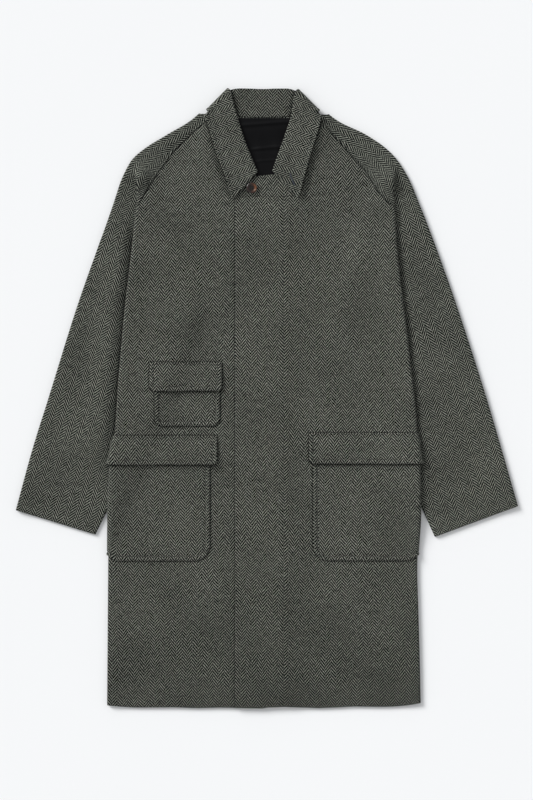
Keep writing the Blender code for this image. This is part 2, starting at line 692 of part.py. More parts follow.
def button(name):
    """Four-hole button with a raised rim on a short neck of thread."""
    base = float(front_level(LEFT, BUTTON_X, BUTTON_Y)) + CLOTH / 2 + SEAM
    r = BUTTON_RADIUS
    profile = [(0.0, 0.0), (2.6, 0.0), (2.6, 0.6), (r - 2.2, 0.6), (r - 0.5, 1.2), (r, 2.0), (r - 0.3, 3.1),
               (r - 1.0, 3.6), (r - 1.8, 3.4), (r - 2.6, 2.6), (0.0, 2.5)]
    count = 22
    points = [(0, 0, base)]
    for radius, z in profile[1:-1]:
        for k in range(count):
            angle = 2 * pi * k / count
            points.append((radius * cos(angle), radius * sin(angle), base + z))
    points.append((0, 0, base + profile[-1][1]))
    rings = len(profile) - 2
    faces = [[0, 1 + (k + 1) % count, 1 + k] for k in range(count)]
    for i in range(rings - 1):
        for k in range(count):
            p, q = 1 + i * count + k, 1 + i * count + (k + 1) % count
            faces.append([p, q, q + count, p + count])
    last = 1 + (rings - 1) * count
    faces += [[last + k, last + (k + 1) % count, len(points) - 1] for k in range(count)]
    points = np.array(points) + np.array([BUTTON_X, BUTTON_Y, 0])
    thing = add_object(name, points, faces, HORN, 0.3)
    cutters = []
    for k in range(4):
        angle = pi / 4 + k * pi / 2
        hole = np.array([BUTTON_X + 2.3 * cos(angle), BUTTON_Y - LENGTH / 2 + 2.3 * sin(angle), base + 2.6])
        bpy.ops.mesh.primitive_cylinder_add(vertices=10, radius=0.95 * MM, depth=3 * MM, location=hole * MM)
        cutters.append(bpy.context.object)
        cut = thing.modifiers.new("hole", "BOOLEAN")
        cut.operation = "DIFFERENCE"
        cut.solver = "EXACT"
        cut.object = cutters[-1]
    ready = thing.evaluated_get(bpy.context.evaluated_depsgraph_get())
    mesh = bpy.data.meshes.new_from_object(ready)
    thing.modifiers.clear()
    thing.data = mesh
    for cutter in cutters:
        bpy.data.objects.remove(cutter, do_unlink=True)
    return thing


back("back")
front("front_right", RIGHT)
front("front_left", LEFT)
sleeve("sleeve_right", RIGHT)
sleeve("sleeve_left", LEFT)
collar("collar")
neck_lining("neck_lining")
patch_pocket("ticket_pocket", RIGHT, 585, 487.6, 80.7, 192.5, 13)
flap("ticket_flap", RIGHT, 597, 548, 77.5, 201, 585)
patch_pocket("hip_pocket_right", RIGHT, 458, 260.6, 98, None, 27)
flap("hip_flap_right", RIGHT, 471, 421.4, 85.5, None, 458)
patch_pocket("hip_pocket_left", LEFT, 462, 260, 79.3, None, 27)
flap("hip_flap_left", LEFT, 475.6, 423, 72.4, None, 462)
button("button")
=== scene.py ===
"""Balmacaan coat in herringbone tweed, laid flat on its back on a pale floor."""

from math import cos, pi, radians, sin

import bpy
import numpy as np
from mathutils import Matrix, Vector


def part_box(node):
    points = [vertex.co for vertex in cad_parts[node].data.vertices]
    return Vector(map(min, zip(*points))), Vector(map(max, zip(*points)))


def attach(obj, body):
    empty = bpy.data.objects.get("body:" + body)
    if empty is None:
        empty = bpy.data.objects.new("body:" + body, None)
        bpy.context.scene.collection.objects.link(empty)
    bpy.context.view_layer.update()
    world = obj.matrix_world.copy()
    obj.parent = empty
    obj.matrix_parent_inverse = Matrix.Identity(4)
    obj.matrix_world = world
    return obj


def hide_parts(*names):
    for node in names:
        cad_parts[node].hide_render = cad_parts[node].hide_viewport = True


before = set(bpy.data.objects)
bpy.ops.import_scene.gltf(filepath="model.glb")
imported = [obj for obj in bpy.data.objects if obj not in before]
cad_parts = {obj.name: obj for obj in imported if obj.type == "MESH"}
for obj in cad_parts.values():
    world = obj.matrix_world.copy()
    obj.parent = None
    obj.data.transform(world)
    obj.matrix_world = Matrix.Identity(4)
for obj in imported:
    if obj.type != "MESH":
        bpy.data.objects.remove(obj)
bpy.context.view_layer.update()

# The view. The coat lies on a plain pale floor, and the camera looks straight down at it.
# A wide soft lamp shines from the upper left, and the pale room fills the shadows.
scene = bpy.context.scene
scene.view_settings.view_transform = "Standard"

LONG_SIDE = 1.376
CAMERA_HEIGHT = 4.0
CAMERA_SHIFT = (-0.0007, -0.0021)
SENSOR = 36
ROOM_COLOUR = (0.97, 0.985, 1.0)
ROOM_LIGHT = 0.565
camera_data = bpy.data.cameras.new("camera")
camera_data.sensor_width = SENSOR
camera_data.lens = SENSOR * CAMERA_HEIGHT / LONG_SIDE
camera = bpy.data.objects.new("camera", camera_data)
camera.location = (*CAMERA_SHIFT, CAMERA_HEIGHT)
scene.collection.objects.link(camera)
scene.camera = camera

world = bpy.data.worlds.new("room")
world.use_nodes = True
world.node_tree.nodes["Background"].inputs["Color"].default_value = (*ROOM_COLOUR, 1)
world.node_tree.nodes["Background"].inputs["Strength"].default_value = ROOM_LIGHT
scene.world = world


def lamp(name, height, side, spread, power):
    """Far, wide lamp: height above the floor and direction round it in degrees, spread as an angle."""
    data = bpy.data.lights.new(name, "SUN")
    data.angle = radians(spread)
    data.energy = power
    thing = bpy.data.objects.new(name, data)
    thing.rotation_euler = (radians(90 - height), 0, radians(side + 90))
    scene.collection.objects.link(thing)


lamp("key", height=30, side=140, spread=26, power=2.95)


class Link:
    """A socket of a shader. Sums and products of links and numbers add Math nodes."""

    def __init__(self, paint, socket):
        self.paint = paint
        self.socket = socket

    def maths(self, operation, *others):
        inputs = dict(enumerate((self,) + others))
        return self.paint.node("ShaderNodeMath", {"operation": operation}, inputs)

    def vector(self, operation, *others, output="Vector"):
        inputs = dict(enumerate((self,) + others))
        if operation == "SCALE":
            inputs = {0: self, "Scale": others[0]}
        return self.paint.node("ShaderNodeVectorMath", {"operation": operation}, inputs, output)

    def part(self, axis):
        """One number of a vector, by its axis 0, 1 or 2."""
        return self.paint.node("ShaderNodeSeparateXYZ", {}, {0: self}, axis)

    def __add__(self, other):
        return self.maths("ADD", other)

    __radd__ = __add__

    def __sub__(self, other):
        return self.maths("SUBTRACT", other)

    def __rsub__(self, other):
        return self.paint.node("ShaderNodeMath", {"operation": "SUBTRACT"}, {0: other, 1: self})

    def __mul__(self, other):
        return self.maths("MULTIPLY", other)

    __rmul__ = __mul__

    def __truediv__(self, other):
        return self.maths("DIVIDE", other)


class Paint:
    """A material and the nodes that feed its Principled shader."""

    def __init__(self, name, colour, rough):
        self.material = bpy.data.materials.new(name)
        self.material.use_nodes = True
        self.tree = self.material.node_tree
        self.shader = self.tree.nodes["Principled BSDF"]
        self.shader.inputs["Base Color"].default_value = (*colour, 1)
        self.shader.inputs["Roughness"].default_value = rough
        self.material.diffuse_color = (*colour, 1)

    def node(self, kind, settings, inputs, output=0):
        made = self.tree.nodes.new(kind)
        for key, value in settings.items():
            setattr(made, key, value)
        for key, value in inputs.items():
            if isinstance(value, Link):
                self.tree.links.new(value.socket, made.inputs[key])
            else:
                made.inputs[key].default_value = value
        return Link(self, made.outputs[output])

    def in_space(self):
        """Place in the frame, in metres."""
        return self.node("ShaderNodeTexCoord", {}, {}, "Object")

    def on_cloth(self):
        """Place on the flat cloth in millimetres, the third number its distance from a line of painted shade.
        """
        return self.node("ShaderNodeAttribute", {"attribute_name": "weave"}, {}, "Vector")

    def noise(self, place, scale, detail=1.0, output=0):
        """Cloudy noise: its strength from output 0, or a colour of three noises from output 1."""
        inputs = {"Vector": place, "Scale": scale, "Detail": detail}
        return self.node("ShaderNodeTexNoise", {}, inputs, output)

    def ramp(self, value, low, high, to_low=0.0, to_high=1.0):
        """Soft step of a value from low to high."""
        return self.node("ShaderNodeMapRange", {"interpolation_type": "SMOOTHSTEP"},
                         {0: value, 1: low, 2: high, 3: to_low, 4: to_high})

    def mix(self, share, first, second):
        """Colour between two colours."""
        ends = {0: share, 6: first, 7: second}
        ends = {key: (*v, 1) if isinstance(v, tuple) and len(v) == 3 else v for key, v in ends.items()}
        return self.node("ShaderNodeMix", {"data_type": "RGBA"}, ends, 2)

    def feed(self, **sockets):
        for key, value in sockets.items():
            self.tree.links.new(value.socket, self.shader.inputs[key.replace("_", " ")])

    def bump(self, height, strength, distance):
        inputs = {"Height": height, "Strength": strength, "Distance": distance}
        self.feed(Normal=self.node("ShaderNodeBump", {}, inputs))


FLOOR_SIDE = 30.0
FLOOR_DROP = 0.0002
FLOOR_COLOURS = ((0.9, 0.905, 0.91), (0.915, 0.92, 0.925))
pale = Paint("floor_paper", FLOOR_COLOURS[0], 0.9)
pale.feed(Base_Color=pale.mix(pale.noise(pale.in_space(), 1.5), *FLOOR_COLOURS))

floor_mesh = bpy.data.meshes.new("floor")
corners = [(-1, -1), (1, -1), (1, 1), (-1, 1)]
floor_points = [(x * FLOOR_SIDE / 2, y * FLOOR_SIDE / 2, -FLOOR_DROP) for x, y in corners]
floor_mesh.from_pydata(floor_points, [], [(0, 1, 2, 3)])
floor_mesh.materials.append(pale.material)
floor = bpy.data.objects.new("floor", floor_mesh)
scene.collection.objects.link(floor)


# Back. One wide panel of tweed under the whole coat, flat on the floor, its sides and raglan
# seams hidden. It carries the neck seam at the top. The outline tables and the walls of
# cloth are worked out here, and every later piece uses them.
HALF_LENGTH = 534.44
MM = 0.001
CLOTH = 2.4
PITCH = 3.0
SEAM = 0.3
FLOOR_LAYER = CLOTH / 2
UPPER_LAYER = FLOOR_LAYER + PITCH
OVER_SLEEVE = 2 * PITCH
FOLD_RADIUS = 2.6
CREASE_RADIUS = PITCH / 2
RAMP = 42.0
ARMPIT_Y = 683.0
ARMPIT_M = 132.0
RAGLAN_FOLD_Y = 866.0
SIDE_SEAM_TOP = 98.0
SHOULDER_NECK_Y = 1018
BACK_NECK_Y = 1024.4
# Distances from a line of painted shade and from a free edge that count as far away
CLEAR = 9.0
NO_RIM = 99.0
# Distances from a rounded edge at which the grid's columns lie close
CLOSE = np.array([0, 0.12, 0.5, 1.3])


def columns(*rows):
    """Table of pairs as two arrays, the first one rising."""
    pairs = sorted(rows)
    return np.array([p[0] for p in pairs], float), np.array([p[1] for p in pairs], float)


def read(table, y):
    """Cubic through each pair of neighbours, its slopes the harmonic mean of those beside each point."""
    x, v = table
    y = np.asarray(y, float)
    step = np.diff(x)
    rise = np.diff(v) / step
    slope = np.concatenate([rise[:1], np.zeros(len(x) - 2), rise[-1:]])
    same = rise[:-1] * rise[1:] > 0
    both = rise[:-1] + rise[1:]
    slope[1:-1] = np.where(same, 2 * rise[:-1] * rise[1:] / np.where(both == 0, 1, both), 0)
    i = np.clip(np.searchsorted(x, y) - 1, 0, len(x) - 2)
    t = np.clip((y - x[i]) / step[i], 0, 1)
    start, end = v[i], v[i + 1]
    bend = t * (1 - t) * ((1 - t) * slope[i] - t * slope[i + 1]) * step[i]
    return start + (end - start) * t * t * (3 - 2 * t) + bend


def smooth(a, b, x):
    """0 below a, 1 above b, an S curve between."""
    t = np.clip((np.asarray(x, float) - a) / (b - a), 0, 1)
    return t * t * (3 - 2 * t)


# Outline tables of both sides, in millimetres: y from the hem, m from the middle. In fall_back
# and back_neckline m comes first. The cuff is its outer and its inner end. Then come the hem's
# rise at its corner, how fast and from where the painted shade on the sleeve beside the body
# fades, and how much lower the yoke's top lies.
RIGHT = {
    "sign": -1,
    "corner_lift": 3.0,
    "crease_grip": 0.5,
    "crease_hold": 0.0,
    "yoke_drop": 2.0,
    "outer": columns((1035, 106.5), (1007, 140.9), (986, 175.3), (966, 207.9), (945, 232.0), (924, 244.1),
                     (904, 252.7), (883, 259.5), (842, 273.3), (780, 295.7), (697, 324.9), (532, 376.5),
                     (450, 402.3), (343, 431.7)),
    "fold": columns((1035, 217), (966, 221), (924, 223), (866, 223.8), (837, 227.4), (775, 234),
                    (704, 242.5), (567, 254.8), (482, 260.8), (412, 269.0), (348, 271.6), (171, 273.3),
                    (0, 274.6)),
    "raglan": columns((1018, 98.5), (1010, 107.0), (986, 132.3), (960, 158.8), (942, 172.5), (921, 188.0),
                      (902, 200.0), (885, 210.0), (866, 220.8)),
    "neck": columns((1018, 98.5), (1013, 96.3), (967, 69.2), (941, 43.6), (920, 19.2)),
    "sleeve_neck": columns((1035, 102.5), (1029.4, 100.6), (1018, 98.5)),
    "back_neck": columns((1035, 106), (1029.6, 100.6), (1027.4, 88), (1024.4, 79)),
    "cuff": ((431.7, 343.0), (294.8, 301.0)),
    "leaf": columns((1031, 106.5), (1010, 103), (974, 92.7), (931, 77.2), (890, 61.7), (878, 54.9)),
    "fall_back": columns((104, 1030), (96, 1025.5), (76.7, 1017.5), (46.8, 1008.4), (17.5, 1003.5), (-6, 1003)),
    "back_neckline": columns((100.6, 1029.4), (90, 1029.0), (73, 1023.9), (43.8, 1019.2), (16.3, 1018),
                             (-6, 1018)),
}
LEFT = {
    "sign": 1,
    "corner_lift": 7.5,
    "crease_grip": 0.11,
    "crease_hold": 2.3,
    "yoke_drop": 3.4,
    "outer": columns((1035, 94.8), (1007, 134.3), (986, 173.9), (966, 203.1), (945, 223.8), (924, 237.5),
                     (904, 247.9), (883, 256.5), (842, 272.8), (780, 296.0), (697, 325.3), (532, 378.6),
                     (450, 402.7), (350, 431.7)),
    "fold": columns((1035, 212), (966, 216.0), (924, 217.4), (866, 219.6), (821, 221.5), (790, 224.0),
                    (720, 231.5), (666, 238.4), (584, 247.9), (498, 257.0), (412, 261.4), (348, 262.6),
                    (240, 258.4), (171, 260.2), (80, 262.8), (0, 264.2)),
    "raglan": columns((1018, 88.7), (1010, 95.5), (986, 114.8), (960, 138.0), (942, 155.2), (921, 171.5),
                      (902, 183.5), (885, 195.0), (866, 213.0)),
    "neck": columns((1018, 88.7), (1013, 86.5), (967, 59.2), (940.5, 34.4), (922, 13.2)),
    "sleeve_neck": columns((1035, 89.5), (1029, 88.9), (1018, 88.7)),
    "back_neck": columns((1035, 94), (1029.1, 86), (1026.9, 76), (1024.4, 68)),
    "cuff": ((431.7, 350.0), (288.5, 297.0)),
    "leaf": columns((1031, 94.8), (1005, 91.3), (962, 77.6), (914, 63.8), (880, 54.0)),
    "fall_back": columns((92, 1030), (84, 1025.5), (65.7, 1017.5), (35.8, 1008.4), (8.5, 1003.5), (-10, 1003)),
    "back_neckline": columns((86, 1028.9), (78, 1028.5), (62, 1023.9), (32.8, 1019.2), (7.3, 1018),
                             (-10, 1018)),
}
SIDE_SEAM = columns((ARMPIT_Y, SIDE_SEAM_TOP), (600, 127), (500, 167), (400, 207), (300, 238), (200, 250),
                    (0, 257))
BACK_RAGLAN = columns((BACK_NECK_Y, 0.0), (900, 0.30), (780, 0.66), (ARMPIT_Y, 1.0))
TUCK = columns((1035, 218), (957, 217), (930, 214), (905, 209), (866, 198), (800, 175), (740, 152),
               (ARMPIT_Y, ARMPIT_M))
# Height of the hem over a straight line at places across it
HEM_LIFT = ((-270, -230, -215, -160, -120, -80, -40, -8, 0, 30, 60, 90, 125, 150, 190, 270),
            (4.4, 3.6, 3.8, 4.3, 2.9, 3.9, 3.0, 2.6, 4.2, 5.2, 4.0, 2.9, 4.4, 5.8, 5.2, 5.8))
HEM_CORNER_M, HEM_CORNER_WIDTH, HEM_FADE = 205, 65, 40


# The tweed: pale warp over near-black weft in a two-and-two twill that turns back every eight
# yarns, so that its stripes of slanted lines meet in zigzags.
STRIPE = 9.15
YARN = STRIPE / 8
PICK = 1.35
PALE_YARN = ((0.152, 0.16, 0.137), (0.437, 0.457, 0.391))
DARK_YARN = ((0.002, 0.0022, 0.0023), (0.014, 0.015, 0.014))
CREASE_SHADE = 0.33
HEM_SHADE = 0.8
CLOUD_SHADE = (0.88, 1.12)
HALF = (0.5, 0.5, 0.5)
tweed = Paint("herringbone_tweed", (0.08, 0.083, 0.072), 0.9)
flat_place = tweed.on_cloth()
plain_place = flat_place.vector("MULTIPLY", (1, 1, 0))
wander = tweed.noise(plain_place, 0.011, 1.0, 1).vector("SUBTRACT", HALF).vector("MULTIPLY", (5, 14, 0))
fuzz = tweed.noise(plain_place, 1.1, 2.0, 1).vector("SUBTRACT", HALF).vector("SCALE", 0.45)
woven_place = plain_place.vector("ADD", wander).vector("ADD", fuzz)
across, along = woven_place.part(0), woven_place.part(1)
zig = across.maths("PINGPONG", STRIPE)
turned_back = (across / (2 * STRIPE)).maths("FRACT").maths("GREATER_THAN", 0.5)
yarn_number = (zig / YARN).maths("FLOOR")
yarn_share = (zig / YARN).maths("FRACT")
phase = ((along + yarn_number * PICK + turned_back * 2 * PICK) / (4 * PICK)).maths("FRACT")
# Painted shade: the tweed is darkened down to CREASE_SHADE within a few millimetres of lines where another edge
# lies on it
painted_crease_shade = tweed.ramp(flat_place.part(2).maths("ABSOLUTE"), 0.2, 4.2, CREASE_SHADE, 1.0)
# Painted shade: the tweed darkens towards HEM_SHADE at the hem, standing in for light that falls off down the
# coat
painted_hem_shade = tweed.ramp(tweed.in_space().part(1), -0.54, -0.2, HEM_SHADE, 1.0)
yarn_side = ((yarn_share - 0.5).maths("ABSOLUTE") * 2).maths("POWER", 2)
warp_up = tweed.ramp((phase - 0.5).maths("ABSOLUTE") + yarn_side * 0.05, 0.112, 0.175, 1.0, 0.0)
slub = tweed.noise(plain_place.vector("MULTIPLY", (0.75, 0.11, 1)), 1.0, 2.0)
hairs = tweed.noise(plain_place, 2.1, 3.0)
cloud = tweed.noise(plain_place, 0.011, 3.0)
pale_yarn = tweed.mix(tweed.ramp(slub, 0.3, 0.7), *PALE_YARN)
dark_yarn = tweed.mix(tweed.ramp(hairs, 0.55, 0.85), *DARK_YARN)
cloth_colour = tweed.mix(warp_up, dark_yarn, pale_yarn)
# shade: the painted crease and hem shade, times the cloth's random cloudy tone
shade = painted_crease_shade * painted_hem_shade * tweed.ramp(cloud, 0.25, 0.75, *CLOUD_SHADE)
tweed.feed(Base_Color=cloth_colour.vector("SCALE", shade))
tweed.bump(warp_up * (1 - yarn_side) * 0.6 + hairs * 0.3, 0.3, 0.0004)
tweed.shader.inputs["Sheen Weight"].default_value = 0.03
tweed.shader.inputs["Sheen Roughness"].default_value = 0.6
tweed.shader.inputs["Specular IOR Level"].default_value = 0.06


def offsets(middle, keep):
    """Step off a grid of middle points that moves its cells a unit, and which points are in use."""
    a, b, c, d = middle[:-1, :-1], middle[:-1, 1:], middle[1:, 1:], middle[1:, :-1]
    cell = np.cross(c - a, d - b)
    cell /= np.linalg.norm(cell, axis=2, keepdims=True) + 1e-12
    cell *= keep[..., None]
    total = np.zeros_like(middle)
    count = np.zeros(middle.shape[:2] + (1,))
    first, last = slice(None, -1), slice(1, None)
    for i, j in ((first, first), (first, last), (last, last), (last, first)):
        total[i, j] += cell
        count[i, j, 0] += keep
    length = np.linalg.norm(total, axis=2, keepdims=True) + 1e-12
    return total / length * np.clip(count / length, 1, 1.15), count[..., 0] > 0


def wall(name, middle, keep, thick, weave, rim, stuff=tweed, crease=None):
    """Closed wall of cloth half its thickness to each side of a grid of middle points.

    keep: which cells are cloth, weave: each point's place on the flat cloth in millimetres,
    rim: distance to the nearest free edge, where the wall thins along a half circle,
    crease: signed distance to the nearest line where another edge lies on it, near which the tweed's colour is
    darkened as painted shade.
    """
    step, used = offsets(middle, keep)
    share = np.clip(rim / (thick / 2), 0, 1)
    half = (thick / 2 * np.sqrt(np.clip(1 - (1 - share) ** 2, 0.02, 1)))[..., None]
    index = -np.ones(middle.shape[:2], int)
    n = int(used.sum())
    index[used] = np.arange(n)
    ring = np.stack([index[:-1, :-1], index[:-1, 1:], index[1:, 1:], index[1:, :-1]], axis=-1)[keep]
    starts = ring.ravel()
    ends = np.roll(ring, -1, axis=1).ravel()
    rim_edge = ~np.isin(starts.astype(np.int64) * n + ends, ends.astype(np.int64) * n + starts)
    p, q = starts[rim_edge], ends[rim_edge]
    sides = np.stack([q, p, p + n, q + n], axis=-1)
    faces = np.concatenate([ring, ring[:, ::-1] + n, sides])
    points = np.vstack([(middle + step * half)[used], (middle - step * half)[used]])
    cloth_place = np.vstack([weave[used], weave[used]])
    crease = np.full(rim.shape, CLEAR) if crease is None else np.clip(crease, -CLEAR, CLEAR)
    cloth_place = np.hstack([cloth_place, np.tile(crease[used], 2)[:, None]])
    tri = points[faces]
    volume = np.einsum("ij,ij->i", tri[:, 0], np.cross(tri[:, 1], tri[:, 2])).sum()
    volume += np.einsum("ij,ij->i", tri[:, 0], np.cross(tri[:, 2], tri[:, 3])).sum()
    if volume < 0:
        faces = faces[:, ::-1]
    return make_piece(name, points, faces, stuff, cloth_place)


def make_piece(name, points, faces, stuff, cloth_place=None, sharp=55):
    """Mesh object from points in millimetres from the hem, with its place on the flat cloth."""
    mesh = bpy.data.meshes.new(name)
    placed = (np.asarray(points, float) - (0, HALF_LENGTH, 0)) * MM
    mesh.from_pydata(placed, [], np.asarray(faces).tolist() if isinstance(faces, np.ndarray) else faces)
    if cloth_place is not None:
        data = np.zeros((len(placed), 3), np.float32)
        data[:] = cloth_place
        mesh.attributes.new("weave", "FLOAT_VECTOR", "POINT").data.foreach_set("vector", data.ravel())
    mesh.polygons.foreach_set("use_smooth", np.ones(len(mesh.polygons), bool))
    mesh.update()
    mesh.set_sharp_from_angle(angle=radians(sharp))
    mesh.materials.append(stuff.material)
    thing = bpy.data.objects.new(name, mesh)
    scene.collection.objects.link(thing)
    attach(thing, "root")
    return thing


def place(side, m, y, z):
    """Points of one side of the coat, the hem lifted a little towards the collar, most at its corners."""
    m, y, z = np.broadcast_arrays(np.asarray(m, float), y, z)
    corner = side["corner_lift"] * np.clip((m - HEM_CORNER_M) / HEM_CORNER_WIDTH, 0, 1.1) ** 2
    hem = np.interp(side["sign"] * m, *HEM_LIFT)
    lift = (corner + hem) * np.exp(-np.maximum(y, 0) / HEM_FADE)
    return np.stack([side["sign"] * m, y + lift, z], axis=-1)


def line_m(side, y):
    """The tuck above the armpit and the sleeve's own inner edge below it."""
    y = np.asarray(y, float)
    (m_out, y_out), (m_in, y_in) = side["cuff"]
    low = np.interp(y, [y_in, 348, ARMPIT_Y], [m_in, m_in - 23, ARMPIT_M])
    low = np.where(y < y_in, m_in + (y_in - y) * 0.5, low)
    high = read(TUCK, y) + (read(side["fold"], y) - read(RIGHT["fold"], y)) * smooth(790, 866, y)
    return np.where(y > ARMPIT_Y, high, low)


def fold_start(side, y):
    """Where the top layer starts to roll over the side fold."""
    return read(side["fold"], y) - FOLD_RADIUS - CLOTH / 2


def side_seam(side, y):
    """Hidden seam between the back and the part of the front that is turned under."""
    return np.minimum(read(SIDE_SEAM, y), fold_start(side, y) - 10)


def back_raglan(side, y):
    """Hidden raglan seam between the back and the sleeve's lower layer."""
    neck_m = side["back_neck"][1][0]
    return neck_m + (SIDE_SEAM_TOP - neck_m) * float(read(BACK_RAGLAN, min(y, BACK_NECK_Y)))


def over_fall(side, m, y):
    """1 over the collar's fall at the back of the neck, 0 away from it."""
    beyond = np.maximum(m - side["fall_back"][0][-1], 0)
    below = np.maximum(read(side["fall_back"], m) - y, 0)
    return 1 - smooth(0, 30, np.hypot(beyond, below))


def back_level(side, m, y):
    """The lowest layer, raised over the collar's fall."""
    return FLOOR_LAYER + PITCH * over_fall(side, m, y)


def rim_of(values):
    """Distance of each value to the nearer end of its row."""
    return np.minimum(np.abs(values - values[..., :1]), np.abs(values - values[..., -1:]))


def whole(middle):
    """All cells of a grid."""
    return np.ones((middle.shape[0] - 1, middle.shape[1] - 1), bool)


def way_along(line):
    """Distance along a line of points from its first one."""
    return np.concatenate([[0], np.cumsum(np.linalg.norm(np.diff(line, axis=0), axis=1))])


def fine(low, high, gap, start=True, end=True):
    """Even steps of about the gap from low to high, with three close ones at a rounded edge."""
    inner = low + CLOSE if start else np.array([low])
    outer = high - CLOSE[::-1] if end else np.array([high])
    count = max(2, int(round((outer[0] - inner[-1]) / gap)) + 1)
    return np.concatenate([inner[:-1], np.linspace(inner[-1], outer[0], count), outer[1:]])


NECK_SHAPE_Y = 960
NECK_SHAPE_HEIGHT = SHOULDER_NECK_Y - NECK_SHAPE_Y
back_rows = np.concatenate([fine(0, ARMPIT_Y, 9, True, False), np.linspace(ARMPIT_Y, SHOULDER_NECK_Y, 50)[1:]])
back_shares = np.linspace(0, 1, 26)
grid = []
for y in back_rows:
    halves = []
    for side in (RIGHT, LEFT):
        if y < ARMPIT_Y:
            reach = float(side_seam(side, y)) - SEAM / 2
        else:
            reach = back_raglan(side, y) - 0.4
        m = reach * back_shares
        top_y = read(side["back_neckline"], m) - 0.9
        risen = NECK_SHAPE_Y + (top_y - NECK_SHAPE_Y) * (y - NECK_SHAPE_Y) / NECK_SHAPE_HEIGHT
        yy = np.broadcast_to(np.minimum(y, top_y) if y < NECK_SHAPE_Y else risen, m.shape)
        halves.append(place(side, m, yy, back_level(side, m, yy)))
    grid.append(np.vstack([halves[0][::-1], halves[1][1:]]))
middle = np.array(grid)
rim = np.minimum(rim_of(middle[..., 0]), back_rows[:, None])
back = wall("back_panel", middle, whole(middle), CLOTH, middle[..., :2], rim)
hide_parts("back")


# Fronts. The wearer's left front laps over the right one. Each is one panel of tweed that
# folds at the side and runs on underneath to the hidden side seam, over the sleeve where
# the sleeve lies under it. Above the armpit its slanted edge is the raglan seam.
OVERLAP_END = 44.0
FLY_STITCH_M = 29.0
thread = Paint("grey_thread", (0.012, 0.0125, 0.012), 0.6)
thread.shader.inputs["Specular IOR Level"].default_value = 0.2
thread_mottle = thread.noise(thread.in_space(), 900.0, 2.0)
thread.feed(Base_Color=thread.mix(thread_mottle, (0.006, 0.006, 0.006), (0.022, 0.023, 0.021)))


def over(pieces, spots):
    """Height in millimetres of the top of some pieces at spots, from the four nearest points."""
    found = []
    for piece in pieces:
        mesh = piece.data
        data = np.zeros(len(mesh.vertices) * 3)
        mesh.vertices.foreach_get("co", data)
        normal = np.zeros(len(mesh.vertices) * 3)
        mesh.vertices.foreach_get("normal", normal)
        found.append(data.reshape(-1, 3)[normal.reshape(-1, 3)[:, 2] > 0.45] / MM + (0, HALF_LENGTH, 0))
    found = np.vstack(found)
    heights = []
    for spot in np.asarray(spots, float):
        near = found[(np.abs(found[:, 0] - spot[0]) < 9) & (np.abs(found[:, 1] - spot[1]) < 9)]
        gap = np.hypot(near[:, 0] - spot[0], near[:, 1] - spot[1])
        upper = near[:, 2] > near[gap < gap.min() + 4, 2].max() - 2.2
        near, gap = near[upper], gap[upper]
        pick = np.argsort(gap)[:4]
        weight = 1 / (gap[pick] + 0.05)
        heights.append((near[pick, 2] * weight).sum() / weight.sum())
    return np.array(heights)


def stitches(name, lines, pieces, stuff, pitch=4.3, length=3.2, width=0.8, turn=0.0, sink=0.3):
    """Rows of stitches on cloth: short rods along each line, their ends bent down into it.

    A rod's point is (s length / 2, width / 2 times the circle, sink (1 - 2 s^2)), s from -1 to 1.
    """
    s = np.array([-1.0, -0.55, 0.55, 1.0])
    angle = np.arange(5) * 2 * pi / 5
    swell = (width / 2) * np.sqrt(1.02 - s ** 4)[:, None]
    rod = np.stack([np.repeat(s[:, None] * length / 2, 5, axis=1), swell * np.cos(angle),
                    swell * np.sin(angle) - sink * 1.5 * s[:, None] ** 2 + 0.1], axis=-1).reshape(-1, 3)
    k = np.arange(3)[:, None] * 5
    a = np.arange(5)
    sides = np.stack([k + a, k + (a + 1) % 5, k + 5 + (a + 1) % 5, k + 5 + a], axis=-1).reshape(-1, 4)
    spots, runs = [], []
    for line in lines:
        line = np.asarray(line, float)
        way = way_along(line)
        at = np.arange(pitch / 2, way[-1] - pitch / 3, pitch)
        spots.append(np.stack([np.interp(at, way, line[:, c]) for c in (0, 1)], axis=-1))
        ahead = np.stack([np.interp(at + 0.8, way, line[:, c]) - np.interp(at - 0.8, way, line[:, c])
                          for c in (0, 1)], axis=-1)
        runs.append(ahead / np.linalg.norm(ahead, axis=1, keepdims=True))
    spots, runs = np.vstack(spots), np.vstack(runs)
    runs = runs * cos(turn) + np.stack([-runs[:, 1], runs[:, 0]], axis=-1) * sin(turn)
    sway = np.random.default_rng(7).normal(0, 0.12, (len(spots), 2))
    runs = runs + sway * 0.35
    high = over(pieces, spots)
    points = np.zeros((len(spots), len(rod), 3))
    points[..., 0] = spots[:, None, 0] + rod[:, 0] * runs[:, None, 0] - rod[:, 1] * runs[:, None, 1]
    points[..., 1] = spots[:, None, 1] + rod[:, 0] * runs[:, None, 1] + rod[:, 1] * runs[:, None, 0]
    points[..., 2] = high[:, None] + rod[:, 2]
    base = (np.arange(len(spots)) * len(rod))[:, None, None]
    faces = (sides[None] + base).reshape(-1, 4).tolist()
    faces += (base[:, 0] + a[None, ::-1]).tolist() + (base[:, 0] + 15 + a[None]).tolist()
    return make_piece(name, points.reshape(-1, 3), faces, stuff)


# Edges of the fronts, m, and how much the body swells beside its folds and the collar
LEFT_FRONT_EDGE = -54.4
RIGHT_FRONT_EDGE = -40.0
PUFF_WIDTH = 35.0
PUFF = 2 * FOLD_RADIUS - PITCH
STAND_RAISE = 4.6
BESIDE_COLLAR = {-1: 3.4, 1: 1.2}
SIDE_FULL = {-1: 0.25, 1: 0.95}
FLY_WIDTH = (30, 47)
FLY_FULL = 2.0
EDGE_ROLL = 0.9
NECK_CORNER_Y = (902, 918)
CLIMB, CLIMB_HEIGHT, CLIMB_WIDTH = 9.0, 45, 20
FRONT_TOP_Y = 1015
FLY_COLUMNS = np.array([-4.2, -2.3, -1.1, 0.0, 1.1, 2.3, 4.2])
TOP_COLUMNS = 72
ROLL_COLUMNS = 10
UNDER_COLUMNS = (4, 10)
PANELS = {}
